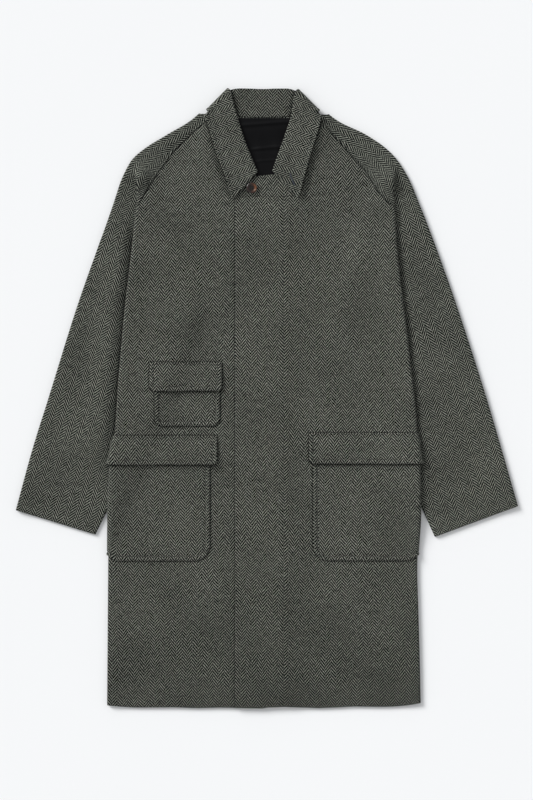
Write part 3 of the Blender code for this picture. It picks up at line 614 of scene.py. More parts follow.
# Patch pockets and flaps, in millimetres. An outer m of None takes a patch round the side fold.
# shift: slip of its weave against the front's, under: the y of its flap's lower edge, below which
# shade is painted on the pocket, over: the y of the top of the pocket under a flap, sewn: how far up its
# stitches run.
PATCHES = {
    "ticket_pocket": dict(side=RIGHT, top=585, bottom=487.6, inner=80.7, outer=192.5, radius=13,
                          shift=(3.5, 2.0), under=548, sewn=546),
    "ticket_flap": dict(side=RIGHT, top=597, bottom=548, inner=77.5, outer=201, radius=8,
                        shift=(5.0, 1.0), over=585, sewn=597),
    "hip_pocket_right": dict(side=RIGHT, top=458, bottom=256.0, inner=98, outer=None, radius=27,
                             shift=(2.0, 3.0), under=421.4, sewn=420),
    "hip_flap_right": dict(side=RIGHT, top=471, bottom=421.4, inner=85.5, outer=None, radius=8,
                           shift=(6.0, 2.2), over=458, sewn=471),
    "hip_pocket_left": dict(side=LEFT, top=462, bottom=256.5, inner=79.3, outer=None, radius=27,
                            shift=(1.0, 1.5), under=423, sewn=421),
    "hip_flap_left": dict(side=LEFT, top=475.6, bottom=423, inner=72.4, outer=None, radius=8,
                          shift=(4.0, 3.4), over=462, sewn=475.6),
}
BEYOND_FOLD = 400

# Soft ridges and troughs of the body, in millimetres: x and y of both ends, half width, height
BODY_CREASES = [
    (-196, 640, -120, 700, 26, 1.3), (-214, 560, -150, 610, 22, 0.8), (-185, 720, -95, 830, 30, 1.0),
    (-205, 790, -176, 850, 16, 0.8), (-70, 640, -88, 860, 24, 0.7), (-150, 660, -150, 780, 34, 0.6),
    (-90, 300, -84, 560, 20, 0.8), (-225, 40, -232, 230, 20, 1.0), (-170, 20, -182, 235, 26, 1.2),
    (-118, 10, -112, 200, 24, 0.9), (-75, 30, -80, 250, 16, 0.9), (-140, 120, -135, 250, 14, -0.5),
    (190, 640, 110, 705, 28, 1.2), (214, 560, 160, 620, 22, 0.9), (180, 720, 90, 840, 32, 1.1),
    (196, 800, 170, 856, 16, 0.8), (70, 600, 84, 860, 22, 0.7), (140, 520, 150, 640, 30, 0.7),
    (100, 480, 96, 600, 18, 0.6), (222, 30, 228, 220, 18, 0.9), (170, 15, 176, 240, 24, 1.1),
    (118, 20, 110, 230, 22, 1.0), (72, 30, 66, 420, 15, 1.0), (150, 100, 146, 240, 12, -0.4),
    (4, 40, 6, 300, 30, 0.6), (0, 380, 4, 700, 34, 0.6), (-20, 700, -8, 850, 22, 0.5),
    (-100, 590, -186, 612, 10, 0.5), (90, 700, 175, 745, 10, 0.5), (-232, 250, -150, 262, 12, 0.4),
]


def creases(table, x, y):
    """Sum of soft bars: a bell across each line, fading over its last third at both ends."""
    total = np.zeros(np.broadcast(x, y).shape)
    for x0, y0, x1, y1, half, height in table:
        length = np.hypot(x1 - x0, y1 - y0)
        along = ((x - x0) * (x1 - x0) + (y - y0) * (y1 - y0)) / length
        across = ((x - x0) * (y1 - y0) - (y - y0) * (x1 - x0)) / length
        bow = across - half * 0.25 * np.sin(along / length * 5 + x0)
        ends = smooth(-0.25 * length, 0.3 * length, along) * (1 - smooth(0.7 * length, 1.25 * length, along))
        total = total + height * ends * np.exp(-(bow / half) ** 2)
    return total


def ripple(x, y):
    """Slow uneven swelling of a cloth that lies loose: three crossed waves, never below nothing."""
    waves = np.sin(x / 31 + 1.3 * np.sin(y / 83)) + np.sin(y / 47 + x / 71 + 0.8) + np.sin((x - y) / 59 + 2)
    return 0.16 * (waves + 3) / 2


def body_rise(x, y):
    """Height of the loose body cloth over its flat level."""
    rise = np.maximum(creases(BODY_CREASES, x, y) + ripple(x, y), -0.25)
    return rise * (1 - smooth(862, 940, y)) * smooth(-6, 14, y)


def under_collar(side, m, y):
    """1 under the collar leaf, down to 0 in a soft slope beyond it, or by its edge lower down."""
    beyond = m - read(side["leaf"], y)
    below = np.maximum(side["leaf"][0][0] - y, 0)
    reach = np.where(beyond > 0, np.hypot(beyond, below), np.maximum(beyond, below))
    slope = smooth(930, 985, y)
    return 1 - smooth(-16 * (1 - slope), 1 + 29 * slope, reach)


def beside_collar(side, m, y):
    """Swelling of the cloth that comes out from under the leaf: none at its edge, full 12 mm off it."""
    beyond = np.maximum(m - read(side["leaf"], y), 0)
    below = np.maximum(side["leaf"][0][0] - y, 0)
    reach = np.hypot(beyond, below)
    return smooth(0, 12, reach) * (1 - smooth(14, 46, reach)) * (1 - smooth(975, 1005, y))


def collar_raise(side, m, y):
    """Rise of the cloth under the leaf, higher beside the neck, where the stand lies too."""
    return (1.6 + (STAND_RAISE - 1.6) * smooth(945, 990, y)) * under_collar(side, m, y)


def fade(y):
    """Share of the shoulder fold that is left, none over its top end."""
    return 1 - smooth(884, 946, y)


def sleeve_step(side, m, y):
    """0 beside the sleeve, the height of its two layers over it."""
    return OVER_SLEEVE * smooth(-RAMP - 3, -3, m - line_m(side, y))


def overlap(m):
    """Rise of the left front where it lies on the right one."""
    return PITCH * (1 - smooth(OVERLAP_END - 9, OVERLAP_END + 26, m))


def front_level(side, m, y):
    """Top layer of the body, over the sleeve and under the collar."""
    end = fold_start(side, y)
    full = 1 + SIDE_FULL[side["sign"]] * smooth(480, 620, y)
    puff = PUFF * full * (1 - smooth(0, PUFF_WIDTH, end - m))
    level = UPPER_LAYER + (sleeve_step(side, m, y) + puff) * fade(y) + collar_raise(side, m, y)
    level = level + BESIDE_COLLAR[side["sign"]] * beside_collar(side, m, y)
    if side is LEFT:
        low = 1 - smooth(890, 905, y)
        edge_roll = EDGE_ROLL * np.exp(-((m - LEFT_FRONT_EDGE) / 4.5) ** 2)
        groove = EDGE_ROLL * np.exp(-((m - FLY_STITCH_M) / 1.8) ** 2)
        level = level + overlap(m) + low * (edge_roll - groove)
        full_fly = FLY_FULL * (1 - smooth(840, 882, y)) * smooth(0, 26, y)
        level = level + full_fly * smooth(-8, 6, m - LEFT_FRONT_EDGE) * (1 - smooth(*FLY_WIDTH, m))
    return level + body_rise(side["sign"] * np.asarray(m, float), y)


def front_edge(side, y):
    """Inner boundary of the front: its edge below, the neckline above."""
    if side is LEFT:
        low = np.interp(y, NECK_CORNER_Y, [LEFT_FRONT_EDGE, -17])
    else:
        low = np.interp(y, NECK_CORNER_Y, [RIGHT_FRONT_EDGE, side["neck"][1][0] + 2])
    return np.where(y > 920, read(side["neck"], y) + 1.6, low)


def boxed(m, y, inner, outer, bottom, top, radius):
    """Signed distance to a patch's outline with round lower corners, positive outside."""
    across = np.abs(m - (inner + outer) / 2) - (outer - inner) / 2
    down = np.abs(y - (bottom + top) / 2) - (top - bottom) / 2
    bend = np.where(y < (bottom + top) / 2, radius, 0.5)
    outside = np.hypot(np.maximum(across + bend, 0), np.maximum(down + bend, 0))
    return outside + np.minimum(np.maximum(across, down) + bend, 0) - bend


def side_rise(side, m, y, bottom, outer):
    """How far the lower corner of a patch climbs where it goes round the side fold."""
    near = np.clip((m - read(side["fold"], y) + CLIMB_WIDTH) / CLIMB_WIDTH, 0, 1.3)
    return CLIMB * near ** 2 * np.clip(1 - (y - bottom) / CLIMB_HEIGHT, 0, 1) * (outer is None)


def shade_edge_distance(side, m, y):
    """Distance on a front to the nearest edge that lies on it, 0 just under that edge, for the painted shade
    beside it.
    """
    far = np.full(np.shape(m), CLEAR)
    for patch in PATCHES.values():
        if patch["side"] is side:
            level_y = y - side_rise(side, m, y, patch["bottom"], patch["outer"])
            outline = boxed(m, level_y, patch["inner"], patch["outer"] or BEYOND_FOLD, patch["bottom"],
                            patch["top"], patch["radius"])
            far = np.minimum(far, outline + 0.3)
    far = np.where(y > side["leaf"][0][0] + 4, np.minimum(far, m - read(side["leaf"], y) + 0.2), far)
    if side is RIGHT:
        far = np.where(y < 900, np.minimum(far, m + LEFT_FRONT_EDGE + 0.6), far)
    return far


def arc_length(points):
    """Distance along each row of a grid from its first column."""
    steps = np.linalg.norm(np.diff(points, axis=1), axis=2)
    return np.concatenate([np.zeros((len(points), 1)), np.cumsum(steps, axis=1)], axis=1)


def front(name, side):
    """Front panel as a grid: top layer, side fold, and the part turned under to the seams."""
    rows = np.concatenate([
        fine(0, ARMPIT_Y - 0.4, 4.6, True, False), np.linspace(ARMPIT_Y, RAGLAN_FOLD_Y - 0.2, 41),
        fine(RAGLAN_FOLD_Y, FRONT_TOP_Y, 3.6, False, True)])
    grid, rims, seams = [], [], []
    for y in rows:
        start = float(fold_start(side, y))
        seam_end = y >= RAGLAN_FOLD_Y
        end = float(read(side["raglan"], y)) - 0.2 if seam_end else start
        edge = float(front_edge(side, y))
        fly = max(FLY_STITCH_M - edge, 14.0) + FLY_COLUMNS
        even = TOP_COLUMNS + 1 - 2 * len(CLOSE) - len(FLY_COLUMNS)
        inner = np.sort(np.concatenate([np.linspace(3.5, end - edge - 3.5, even), fly]))
        m = edge + np.concatenate([CLOSE, inner, end - edge - CLOSE[::-1]])
        z = front_level(side, m, y)
        line = min(float(line_m(side, y)) + CREASE_RADIUS + CLOTH / 2, start - 6)
        seam = min(float(side_seam(side, y)) + SEAM / 2, line - 3)
        floor_z = FLOOR_LAYER + float(sleeve_step(side, start, y))
        lift = (z[-1] - floor_z) / 2
        angle = np.linspace(0, pi, ROLL_COLUMNS + 1)[1:]
        arc_m = start + FOLD_RADIUS * np.sin(angle)
        arc_z = floor_z + lift * (1 + np.cos(angle))
        ride = np.linspace(start, line, UNDER_COLUMNS[0] + 1)[1:]
        flat = np.linspace(line, seam, UNDER_COLUMNS[1] + 1)[1:]
        under_m = np.concatenate([ride, flat])
        under_z = FLOOR_LAYER + sleeve_step(side, under_m, y)
        row_m = np.concatenate([m, arc_m, under_m])
        grid.append(place(side, row_m, float(y), np.concatenate([z, arc_z, under_z])))
        far = np.full(row_m.shape, NO_RIM)
        far[:TOP_COLUMNS + 1] = m - edge
        if seam_end:
            far[:TOP_COLUMNS + 1] = np.minimum(far[:TOP_COLUMNS + 1], end - m)
        rims.append(np.minimum(far, min(y, FRONT_TOP_Y - y)))
        # Painted shade: distances to the raglan seam's edge and to the edges that lie on this front, where its
        # colour is darkened
        raglan_shade_gap = end - m + 1.4 if seam_end else CLEAR
        hidden = np.full(len(row_m) - len(m), CLEAR)
        seams.append(np.concatenate([np.minimum(raglan_shade_gap, shade_edge_distance(side, m, y)), hidden]))
    middle = np.array(grid)
    keep = whole(middle)
    keep[rows[:-1] >= RAGLAN_FOLD_Y - 0.5, TOP_COLUMNS:] = False
    keep[rows[1:] > ARMPIT_Y - 0.3, TOP_COLUMNS + ROLL_COLUMNS + UNDER_COLUMNS[0]:] = False
    step, _ = offsets(middle, keep)
    if step[40, 20, 2] < 0:
        step = -step
    PANELS[side["sign"]] = (rows, middle, step)
    run = arc_length(middle)
    edge_column = slice(TOP_COLUMNS, TOP_COLUMNS + 1)
    across = side["sign"] * (run - run[:, edge_column]) + middle[:, edge_column, 0]
    weave = np.stack([across, middle[..., 1] + 0 * across], axis=-1)
    return wall(name, middle, keep, CLOTH, weave, np.array(rims), crease=np.array(seams))


front_right = front("front_right_panel", RIGHT)
front_left = front("front_left_panel", LEFT)
for piece, node in ((front_right, "front_right"), (front_left, "front_left")):
    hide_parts(node)
    node + "_material"


fly_line = [(FLY_STITCH_M, 884), (FLY_STITCH_M, 640), (FLY_STITCH_M + 0.6, 300), (FLY_STITCH_M, 9)]
fly_seam = stitches("fly_stitches", [fly_line], [front_left], thread)


# Sleeves. Each raglan sleeve is one flattened tube of tweed with its seam underneath. At the
# shoulder the yoke runs up to the collar, folds back under itself and comes out again as
# the layer that shows, and below the armpit the sleeve lies beside the body.
VALLEY = {-1: 6.8, 1: 2.6}
LAP = 1.0
YOKE_CLOSE_Y, YOKE_TOP_Y = 976, 1025.6
TUBE_LENGTH = 395
INNER_ROLL = CREASE_RADIUS + CLOTH / 2
SLIT_AWAY = 9
SLEEVE_STITCH = 5.2
# Columns of the sleeve's grid: near the raglan seam, on the yoke, in the shoulder fold's three
# parts, those before the top layer, and round the tube's inner crease
SEAM_COLUMNS = np.array([3, 4.3, 5.2, 6.1, 7.4, 9])
YOKE_COLUMNS = 18
FOLD_STEPS = (9, 3, 7)
LEAD_COLUMNS = YOKE_COLUMNS + sum(FOLD_STEPS)
CREASE_STEPS = 9
# Soft ridges of the sleeves, as in BODY_CREASES
SLEEVE_CREASES = {
    -1: [(-262, 700, -300, 770, 12, 1.0), (-270, 640, -318, 690, 13, 1.1), (-300, 560, -352, 600, 12, 0.9),
         (-312, 500, -372, 560, 14, 1.2), (-300, 430, -350, 470, 12, 0.8), (-330, 470, -390, 440, 13, 0.8),
         (-350, 380, -400, 420, 12, 0.8), (-300, 340, -330, 420, 13, 0.7), (-280, 520, -300, 600, 12, 0.7)],
    1: [(258, 710, 300, 780, 12, 1.0), (266, 630, 316, 700, 14, 1.2), (290, 560, 350, 620, 12, 0.8),
        (305, 505, 372, 545, 14, 1.2), (296, 440, 352, 485, 12, 0.9), (335, 480, 392, 452, 12, 0.7),
        (345, 370, 405, 425, 13, 0.9), (295, 335, 322, 420, 12, 0.8), (276, 540, 296, 600, 11, 0.7)],
}


def sleeve_rise(side, m, y):
    """Height of the loose sleeve cloth over its flat level, none where the body lies on it."""
    x = side["sign"] * np.asarray(m, float)
    off = m - read(side["fold"], y)
    clear = smooth(4, 26, off) * (1 - smooth(815, 862, y))
    rise = np.maximum(creases(SLEEVE_CREASES[side["sign"]], x, y) + 0.8 * ripple(x + 40, y), -0.2)
    bulge = VALLEY[side["sign"]] * smooth(1, 16, off) * (1 - smooth(20, 62, off))
    return rise * clear + bulge * (1 - smooth(800, 872, y)) * smooth(380, 520, y)


def sleeve_level(side, m, y):
    """Upper layer of the sleeve, fuller beside its outer fold."""
    outer = read(side["outer"], y)
    width = np.clip(0.8 * (outer - read(side["fold"], y)), 6, PUFF_WIDTH)
    full = smooth(912, 930, y) * (1 - smooth(1010, 1026, y))
    puff = PUFF * np.maximum(1 - smooth(0, 1, (outer - FOLD_RADIUS - m) / width), full)
    level = UPPER_LAYER + puff * (1 - under_collar(side, m, y)) + collar_raise(side, m, y)
    return level + sleeve_rise(side, m, y)


def turned(y):
    """Turning of the shoulder fold in radians, with its two arc lengths."""
    share = fade(y)
    room = float(1 - 0.65 * smooth(976, 1010, y))
    first = 6 * room + (FOLD_RADIUS * pi - 6) * share
    second = 5 * room + (CREASE_RADIUS * pi - 5) * share
    return share * pi, first, second


def stretch(side, y):
    """How much wider the outer fold is along a row than across the fold."""
    slope = (float(read(side["outer"], y + 12)) - float(read(side["outer"], y - 12))) / 24
    return min((1 + slope ** 2) ** 0.5, 1.8)


def zigzag(side, y):
    """Section of the shoulder fold from the yoke's end: arc, under-turn, arc, as (m, z) steps."""
    phi, first, second = turned(y)
    reach = float(read(side["fold"], y)) - FOLD_RADIUS - CREASE_RADIUS - CLOTH - float(line_m(side, y))
    flat = max(2.0 - float(smooth(976, 1010, y)), reach)
    points = [(0.0, 0.0)]
    heading = 0.0
    for length, count, turn in zip((first, flat, second), FOLD_STEPS, (-phi, 0.0, phi)):
        for _ in range(count):
            mid = heading + turn / count / 2
            chord = length / count
            if turn:
                chord *= sin(abs(turn) / count / 2) / (abs(turn) / count / 2)
            m, z = points[-1]
            points.append((m + chord * cos(mid), z + chord * sin(mid)))
            heading += turn / count
    return np.array(points)


def yoke_end(side, y):
    """Where the top layer starts to turn under, fold or outer edge, whichever comes first."""
    outer = float(read(side["outer"], y)) - (FOLD_RADIUS + CLOTH / 2) * stretch(side, y)
    bare = float(5 + 9 * smooth(955, 975, y) - 11.5 * smooth(1000, 1022, y))
    return min(float(fold_start(side, y)), outer - bare - zigzag(side, y)[-1, 0])


def yoke_level(side, m, y):
    """Level of the front beside the yoke, without the fronts' overlap."""
    level = front_level(side, m, y)
    return level - overlap(m) if side is LEFT else level


def along_outer(side, m, y):
    """Place on the sleeve's cloth, its stripes parallel to the outer fold: (across, along).

    The outer fold is a fine line of points. Each point of the sleeve takes the nearest one's
    distance along the fold, and its own distance from it.
    """
    (cuff_m, cuff_y), _ = side["cuff"]
    line_y = np.linspace(1040, 250, 500)
    line_x = np.where(line_y > cuff_y, read(side["outer"], line_y), cuff_m + (cuff_y - line_y) * 0.275)
    line = np.stack([line_x, line_y], axis=-1)
    way = way_along(line)
    points = np.stack([m, y], axis=-1).reshape(-1, 2)
    gap = ((points[:, None, :] - line[None]) ** 2).sum(axis=2)
    near = np.clip(gap.argmin(axis=1), 1, len(line) - 2)
    run = line[near + 1] - line[near - 1]
    run /= np.linalg.norm(run, axis=1, keepdims=True)
    off = points - line[near]
    across = off[:, 0] * run[:, 1] - off[:, 1] * run[:, 0]
    along = way[near] + (off * run).sum(axis=1)
    return np.stack([side["sign"] * across, along], axis=-1).reshape(m.shape + (2,))


def tube_lead(in_m):
    """First columns of a row of the tube: the crease on its inner side, up from the slit below."""
    start = in_m + INNER_ROLL
    angle = np.linspace(pi, 0, CREASE_STEPS)[:-1]
    fold_m = start - CREASE_RADIUS * np.sin(angle)
    fold_z = FLOOR_LAYER + CREASE_RADIUS * (1 + np.cos(angle))
    pad = LEAD_COLUMNS - len(angle)
    stub = np.full(pad, in_m + SLIT_AWAY - SEAM / 2)
    return start, np.concatenate([stub, fold_m]), np.concatenate([np.full(pad, FLOOR_LAYER), fold_z])


def yoke_lead(side, y):
    """First columns of a row of the yoke: its lapped edge, the yoke and the shoulder fold.

    Gives where the top layer starts after the fold, the columns, and how far the yoke's own
    columns are from the raglan seam.
    """
    below_neck = y < SHOULDER_NECK_Y
    table = side["raglan" if below_neck else "sleeve_neck"]
    seam = float(read(table, y)) + (0.2 if below_neck else 1.3)
    end = yoke_end(side, y)
    zig = zigzag(side, y)
    start = end + zig[-1, 0]
    target = float(sleeve_level(side, start, y)) - zig[-1, 1]
    reach = end - seam
    shares = np.concatenate([CLOSE, SEAM_COLUMNS]) * min(1, reach / 18)
    even = np.linspace(shares[-1], reach, YOKE_COLUMNS + 2 - len(shares))[1:]
    yoke_m = seam + np.concatenate([shares, even])
    yoke_z = yoke_level(side, yoke_m, float(y))
    yoke_z = yoke_z + (target - yoke_z[-1]) * smooth(0, 1, (yoke_m - seam) / reach)
    off = yoke_m - seam
    lap = LAP * (0.8 + 0.3 * sin(y / 5.3) * sin(y / 11.9 + 1)) * (1 - smooth(1, 11, off))
    groove = 0.7 * np.exp(-((off - SLEEVE_STITCH) / 1.5) ** 2) * min(1, reach / 30)
    yoke_z = yoke_z + lap - groove
    lead_m = np.concatenate([yoke_m[:-1], end + zig[:-1, 0]])
    lead_z = np.concatenate([yoke_z[:-1], target + zig[:-1, 1]])
    return start, lead_m, lead_z, off[:-1]


def sleeve(name, side):
    """Raglan sleeve as a grid: yoke, shoulder fold, top layer, outer fold, back layer.

    Its rows are the yoke's, those of the tuck above the armpit and, as shares of the way to the
    cuff, those of the tube below it.
    """
    yoke_rows = np.concatenate([fine(RAGLAN_FOLD_Y + 0.2, YOKE_CLOSE_Y, 2.6, False, False),
                                np.linspace(YOKE_CLOSE_Y, YOKE_TOP_Y, 22)[1:]])
    tube_rows = fine(0, TUBE_LENGTH, 5.2, False, True) / TUBE_LENGTH
    tube_rows[0] = 0.0015
    rows = [("yoke", y) for y in yoke_rows[::-1]]
    rows += [("tuck", y) for y in np.linspace(RAGLAN_FOLD_Y - 4, ARMPIT_Y, 40)]
    rows += [("tube", share) for share in tube_rows]
    n_top, n_roll, n_back, n_inner = 30, 12, 14, 5
    (_, cuff_y), (_, inner_y) = side["cuff"]
    grid, rims = [], []
    for kind, row in rows:
        far = np.full(LEAD_COLUMNS + n_top + 1 + n_roll + n_back + n_inner, NO_RIM)
        y_out = y_in = float(row)
        if kind == "tube":
            y_out = ARMPIT_Y + (cuff_y - ARMPIT_Y) * row
            y_in = ARMPIT_Y + (inner_y - ARMPIT_Y) * row
            far[:] = (1 - row) * TUBE_LENGTH
        out_m = float(read(side["outer"], y_out))
        in_m = float(line_m(side, y_in))
        slope = (y_out - y_in) / (out_m - in_m)
        wide = 1.0 if kind == "tube" else stretch(side, y_out)
        roll_m = out_m - (FOLD_RADIUS + CLOTH / 2) * wide

        def row_y(m):
            return y_in + slope * (np.asarray(m, float) - in_m)

        if kind == "tube":
            start, lead_m, lead_z = tube_lead(in_m)
            slit = in_m + SLIT_AWAY + SEAM / 2
            inner = slit - 2
        else:
            start = in_m + INNER_ROLL
            lead_m, lead_z = np.full(LEAD_COLUMNS, start), np.full(LEAD_COLUMNS, UPPER_LAYER)
            if row > BACK_NECK_Y:
                inner = float(read(side["back_neck"], row)) + 1.6
            else:
                inner = back_raglan(side, row) + 0.4
            slit = inner + 0.17 * (roll_m - inner)
        if kind == "yoke":
            start, lead_m, lead_z, far[:YOKE_COLUMNS] = yoke_lead(side, row)
        share = np.linspace(0, 1, n_top + 1)
        top_m = start + (roll_m - start) * (1 - (1 - share) ** (1.25 if roll_m - start > 25 else 1))
        top_z = sleeve_level(side, top_m, row_y(top_m))
        floor_z = float(back_level(side, roll_m, row_y(roll_m)))
        angle = np.linspace(0, pi, n_roll + 1)[1:]
        roll_z = floor_z + (top_z[-1] - floor_z) / 2 * (1 + np.cos(angle))
        arc_m = roll_m + FOLD_RADIUS * wide * np.sin(angle)
        to_slit = np.linspace(roll_m, slit, n_back + 1)[1:]
        back_m = np.concatenate([to_slit, np.linspace(slit, inner, n_inner + 1)[1:]])
        back_z = back_level(side, back_m, row_y(back_m))
        m = np.concatenate([lead_m, top_m, arc_m, back_m])
        z = np.concatenate([lead_z, top_z, roll_z, back_z])
        grid.append(np.stack([side["sign"] * m, row_y(m), z], axis=-1))
        rims.append(far)
    middle, rims = np.array(grid), np.array(rims)
    keep = whole(middle)
    kinds = np.array([kind for kind, _ in rows])
    yoke, tube = kinds == "yoke", kinds == "tube"
    keep[~(yoke[:-1] & yoke[1:]), :LEAD_COLUMNS] = False
    keep[tube[:-1] & tube[1:], LEAD_COLUMNS - CREASE_STEPS:LEAD_COLUMNS] = True
    keep[tube[:-1] | tube[1:], -n_inner:] = False
    weave = along_outer(side, side["sign"] * middle[..., 0], middle[..., 1])
    middle[..., 1] -= side["yoke_drop"] * smooth(990, 1020, middle[..., 1])
    plan_m, plan_y = side["sign"] * middle[..., 0], middle[..., 1]
    # Painted shade: the sleeve's colour is darkened beside the body's side fold and along the yoke's raglan
    # edge, by these distances
    beside = (plan_m - read(side["fold"], plan_y)) * side["crease_grip"] + side["crease_hold"]
    beside = beside + 12 * smooth(800, 880, plan_y) + 12 * (1 - smooth(300, 420, plan_y))
    seams = np.where(yoke[:, None], rims + 0.9, beside)
    seams[:, LEAD_COLUMNS + n_top + n_roll // 2:] = CLEAR
    return wall(name, middle, keep, CLOTH, weave, rims, crease=seams)


sleeve_right = sleeve("sleeve_right_tube", RIGHT)
sleeve_left = sleeve("sleeve_left_tube", LEFT)
for piece, node in ((sleeve_right, "sleeve_right"), (sleeve_left, "sleeve_left")):
    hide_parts(node)
    node + "_material"


seam_y = np.linspace(868, 1016, 60)
for side, piece in ((RIGHT, sleeve_right), (LEFT, sleeve_left)):
    seam_m = read(side["raglan"], seam_y)
    lean = np.gradient(seam_m, seam_y)
    run = np.stack([lean, 1 + 0 * lean], axis=-1) / np.hypot(lean, 1)[:, None]
    line = np.stack([side["sign"] * (seam_m + SLEEVE_STITCH * run[:, 1]), seam_y - SLEEVE_STITCH * run[:, 0]],
                    axis=-1)
    seam = stitches(piece.name + "_stitches", [line], [piece], thread)


# Collar. One band of tweed, a stand and a fall folded over it. It lies as a hairpin that
# runs up one leaf, rolls over beside the neck, crosses behind it with the stand's inside
# up, and comes down the other leaf. Its ends are the two collar points.
COLLAR_CLOTH = 2.0
LEAF_LAYER = 12.1
POINT_RISE = 2.6
BACK_MIDDLE_X = -6
FOLD_TOP_Y = 1067
COLLAR_STITCH = 6.5
FALL_COLUMNS = 18
STITCH_COLUMNS = 16
FALL_ENDS = np.concatenate([[9.6, 7.9, 6.5, 5.1, 3.0], CLOSE[::-1]])
GRAIN = radians(17)
# Stations of each half: m and y of the fold, its slope below the outward direction in degrees,
# the stand's and the fall's length, half turns of the section from the front to the back
COLLAR_RIGHT = [
    (15.3, 924.5, 47.6, 6, 65, 0), (27, 952, 34, 20, 56, 0), (37.7, 979.5, 22, 34, 54, 0),
    (51.4, 1022.6, 14, 46, 52.8, 0), (58.5, 1050, 31, 49, 53.5, 0), (62.6, 1064.6, 46, 51, 53.2, 0),
    (62.6, 1064.6, 46, 51, 53.2, 1), (54, 1067.2, 54, 51, 56, 1), (44, 1068.0, 63, 51, 58, 1),
    (30, 1067.8, 75, 50, 61, 1), (16, 1067.2, 85, 49.2, 63.5, 1), (6, 1067, 90, 49, 64, 1)]
COLLAR_LEFT = [
    (9, 926, 46.6, 6, 66, 0), (18, 952, 35, 20, 58, 0), (27.7, 979.5, 22, 34, 53.5, 0),
    (41.5, 1022.6, 14, 46, 52, 0), (45.2, 1049, 30, 49, 53, 0), (49, 1063.2, 45.5, 51, 53.2, 0),
    (49, 1063.2, 45.5, 51, 53.2, 1), (40.5, 1066.6, 54, 51, 56, 1), (32, 1067.8, 64, 51, 58, 1),
    (17, 1067.8, 76, 50, 61, 1), (1, 1067.2, 85, 49.2, 63.5, 1)]
# Line down each side where the stand meets the roll behind the neck, along which shade is painted: y, m
ROLL_LINES = {-1: ((1022.6, 1050, 1066), (51.4, 58.5, 63)), 1: ((1022.6, 1049, 1066), (41.5, 45.2, 49.5))}


def collar_stations(table):
    """The table's stations with more between them on smooth curves, closest round the side roll."""
    table = np.array(table, float)
    knots = np.arange(len(table), dtype=float)
    steps = [(14 if a[5] != b[5] else (9 if a[5] == 0 else 4)) for a, b in zip(table[:-1], table[1:])]
    way = np.concatenate([k + np.arange(n) / n for k, n in enumerate(steps)] + [[knots[-1]]])
    way = np.sort(np.concatenate([way, [0.004, 0.018, 0.047]]))
    smooth_parts = [read((knots, table[:, c]), way) for c in range(5)]
    return np.stack(smooth_parts + [np.interp(way, knots, table[:, 5])], axis=-1)


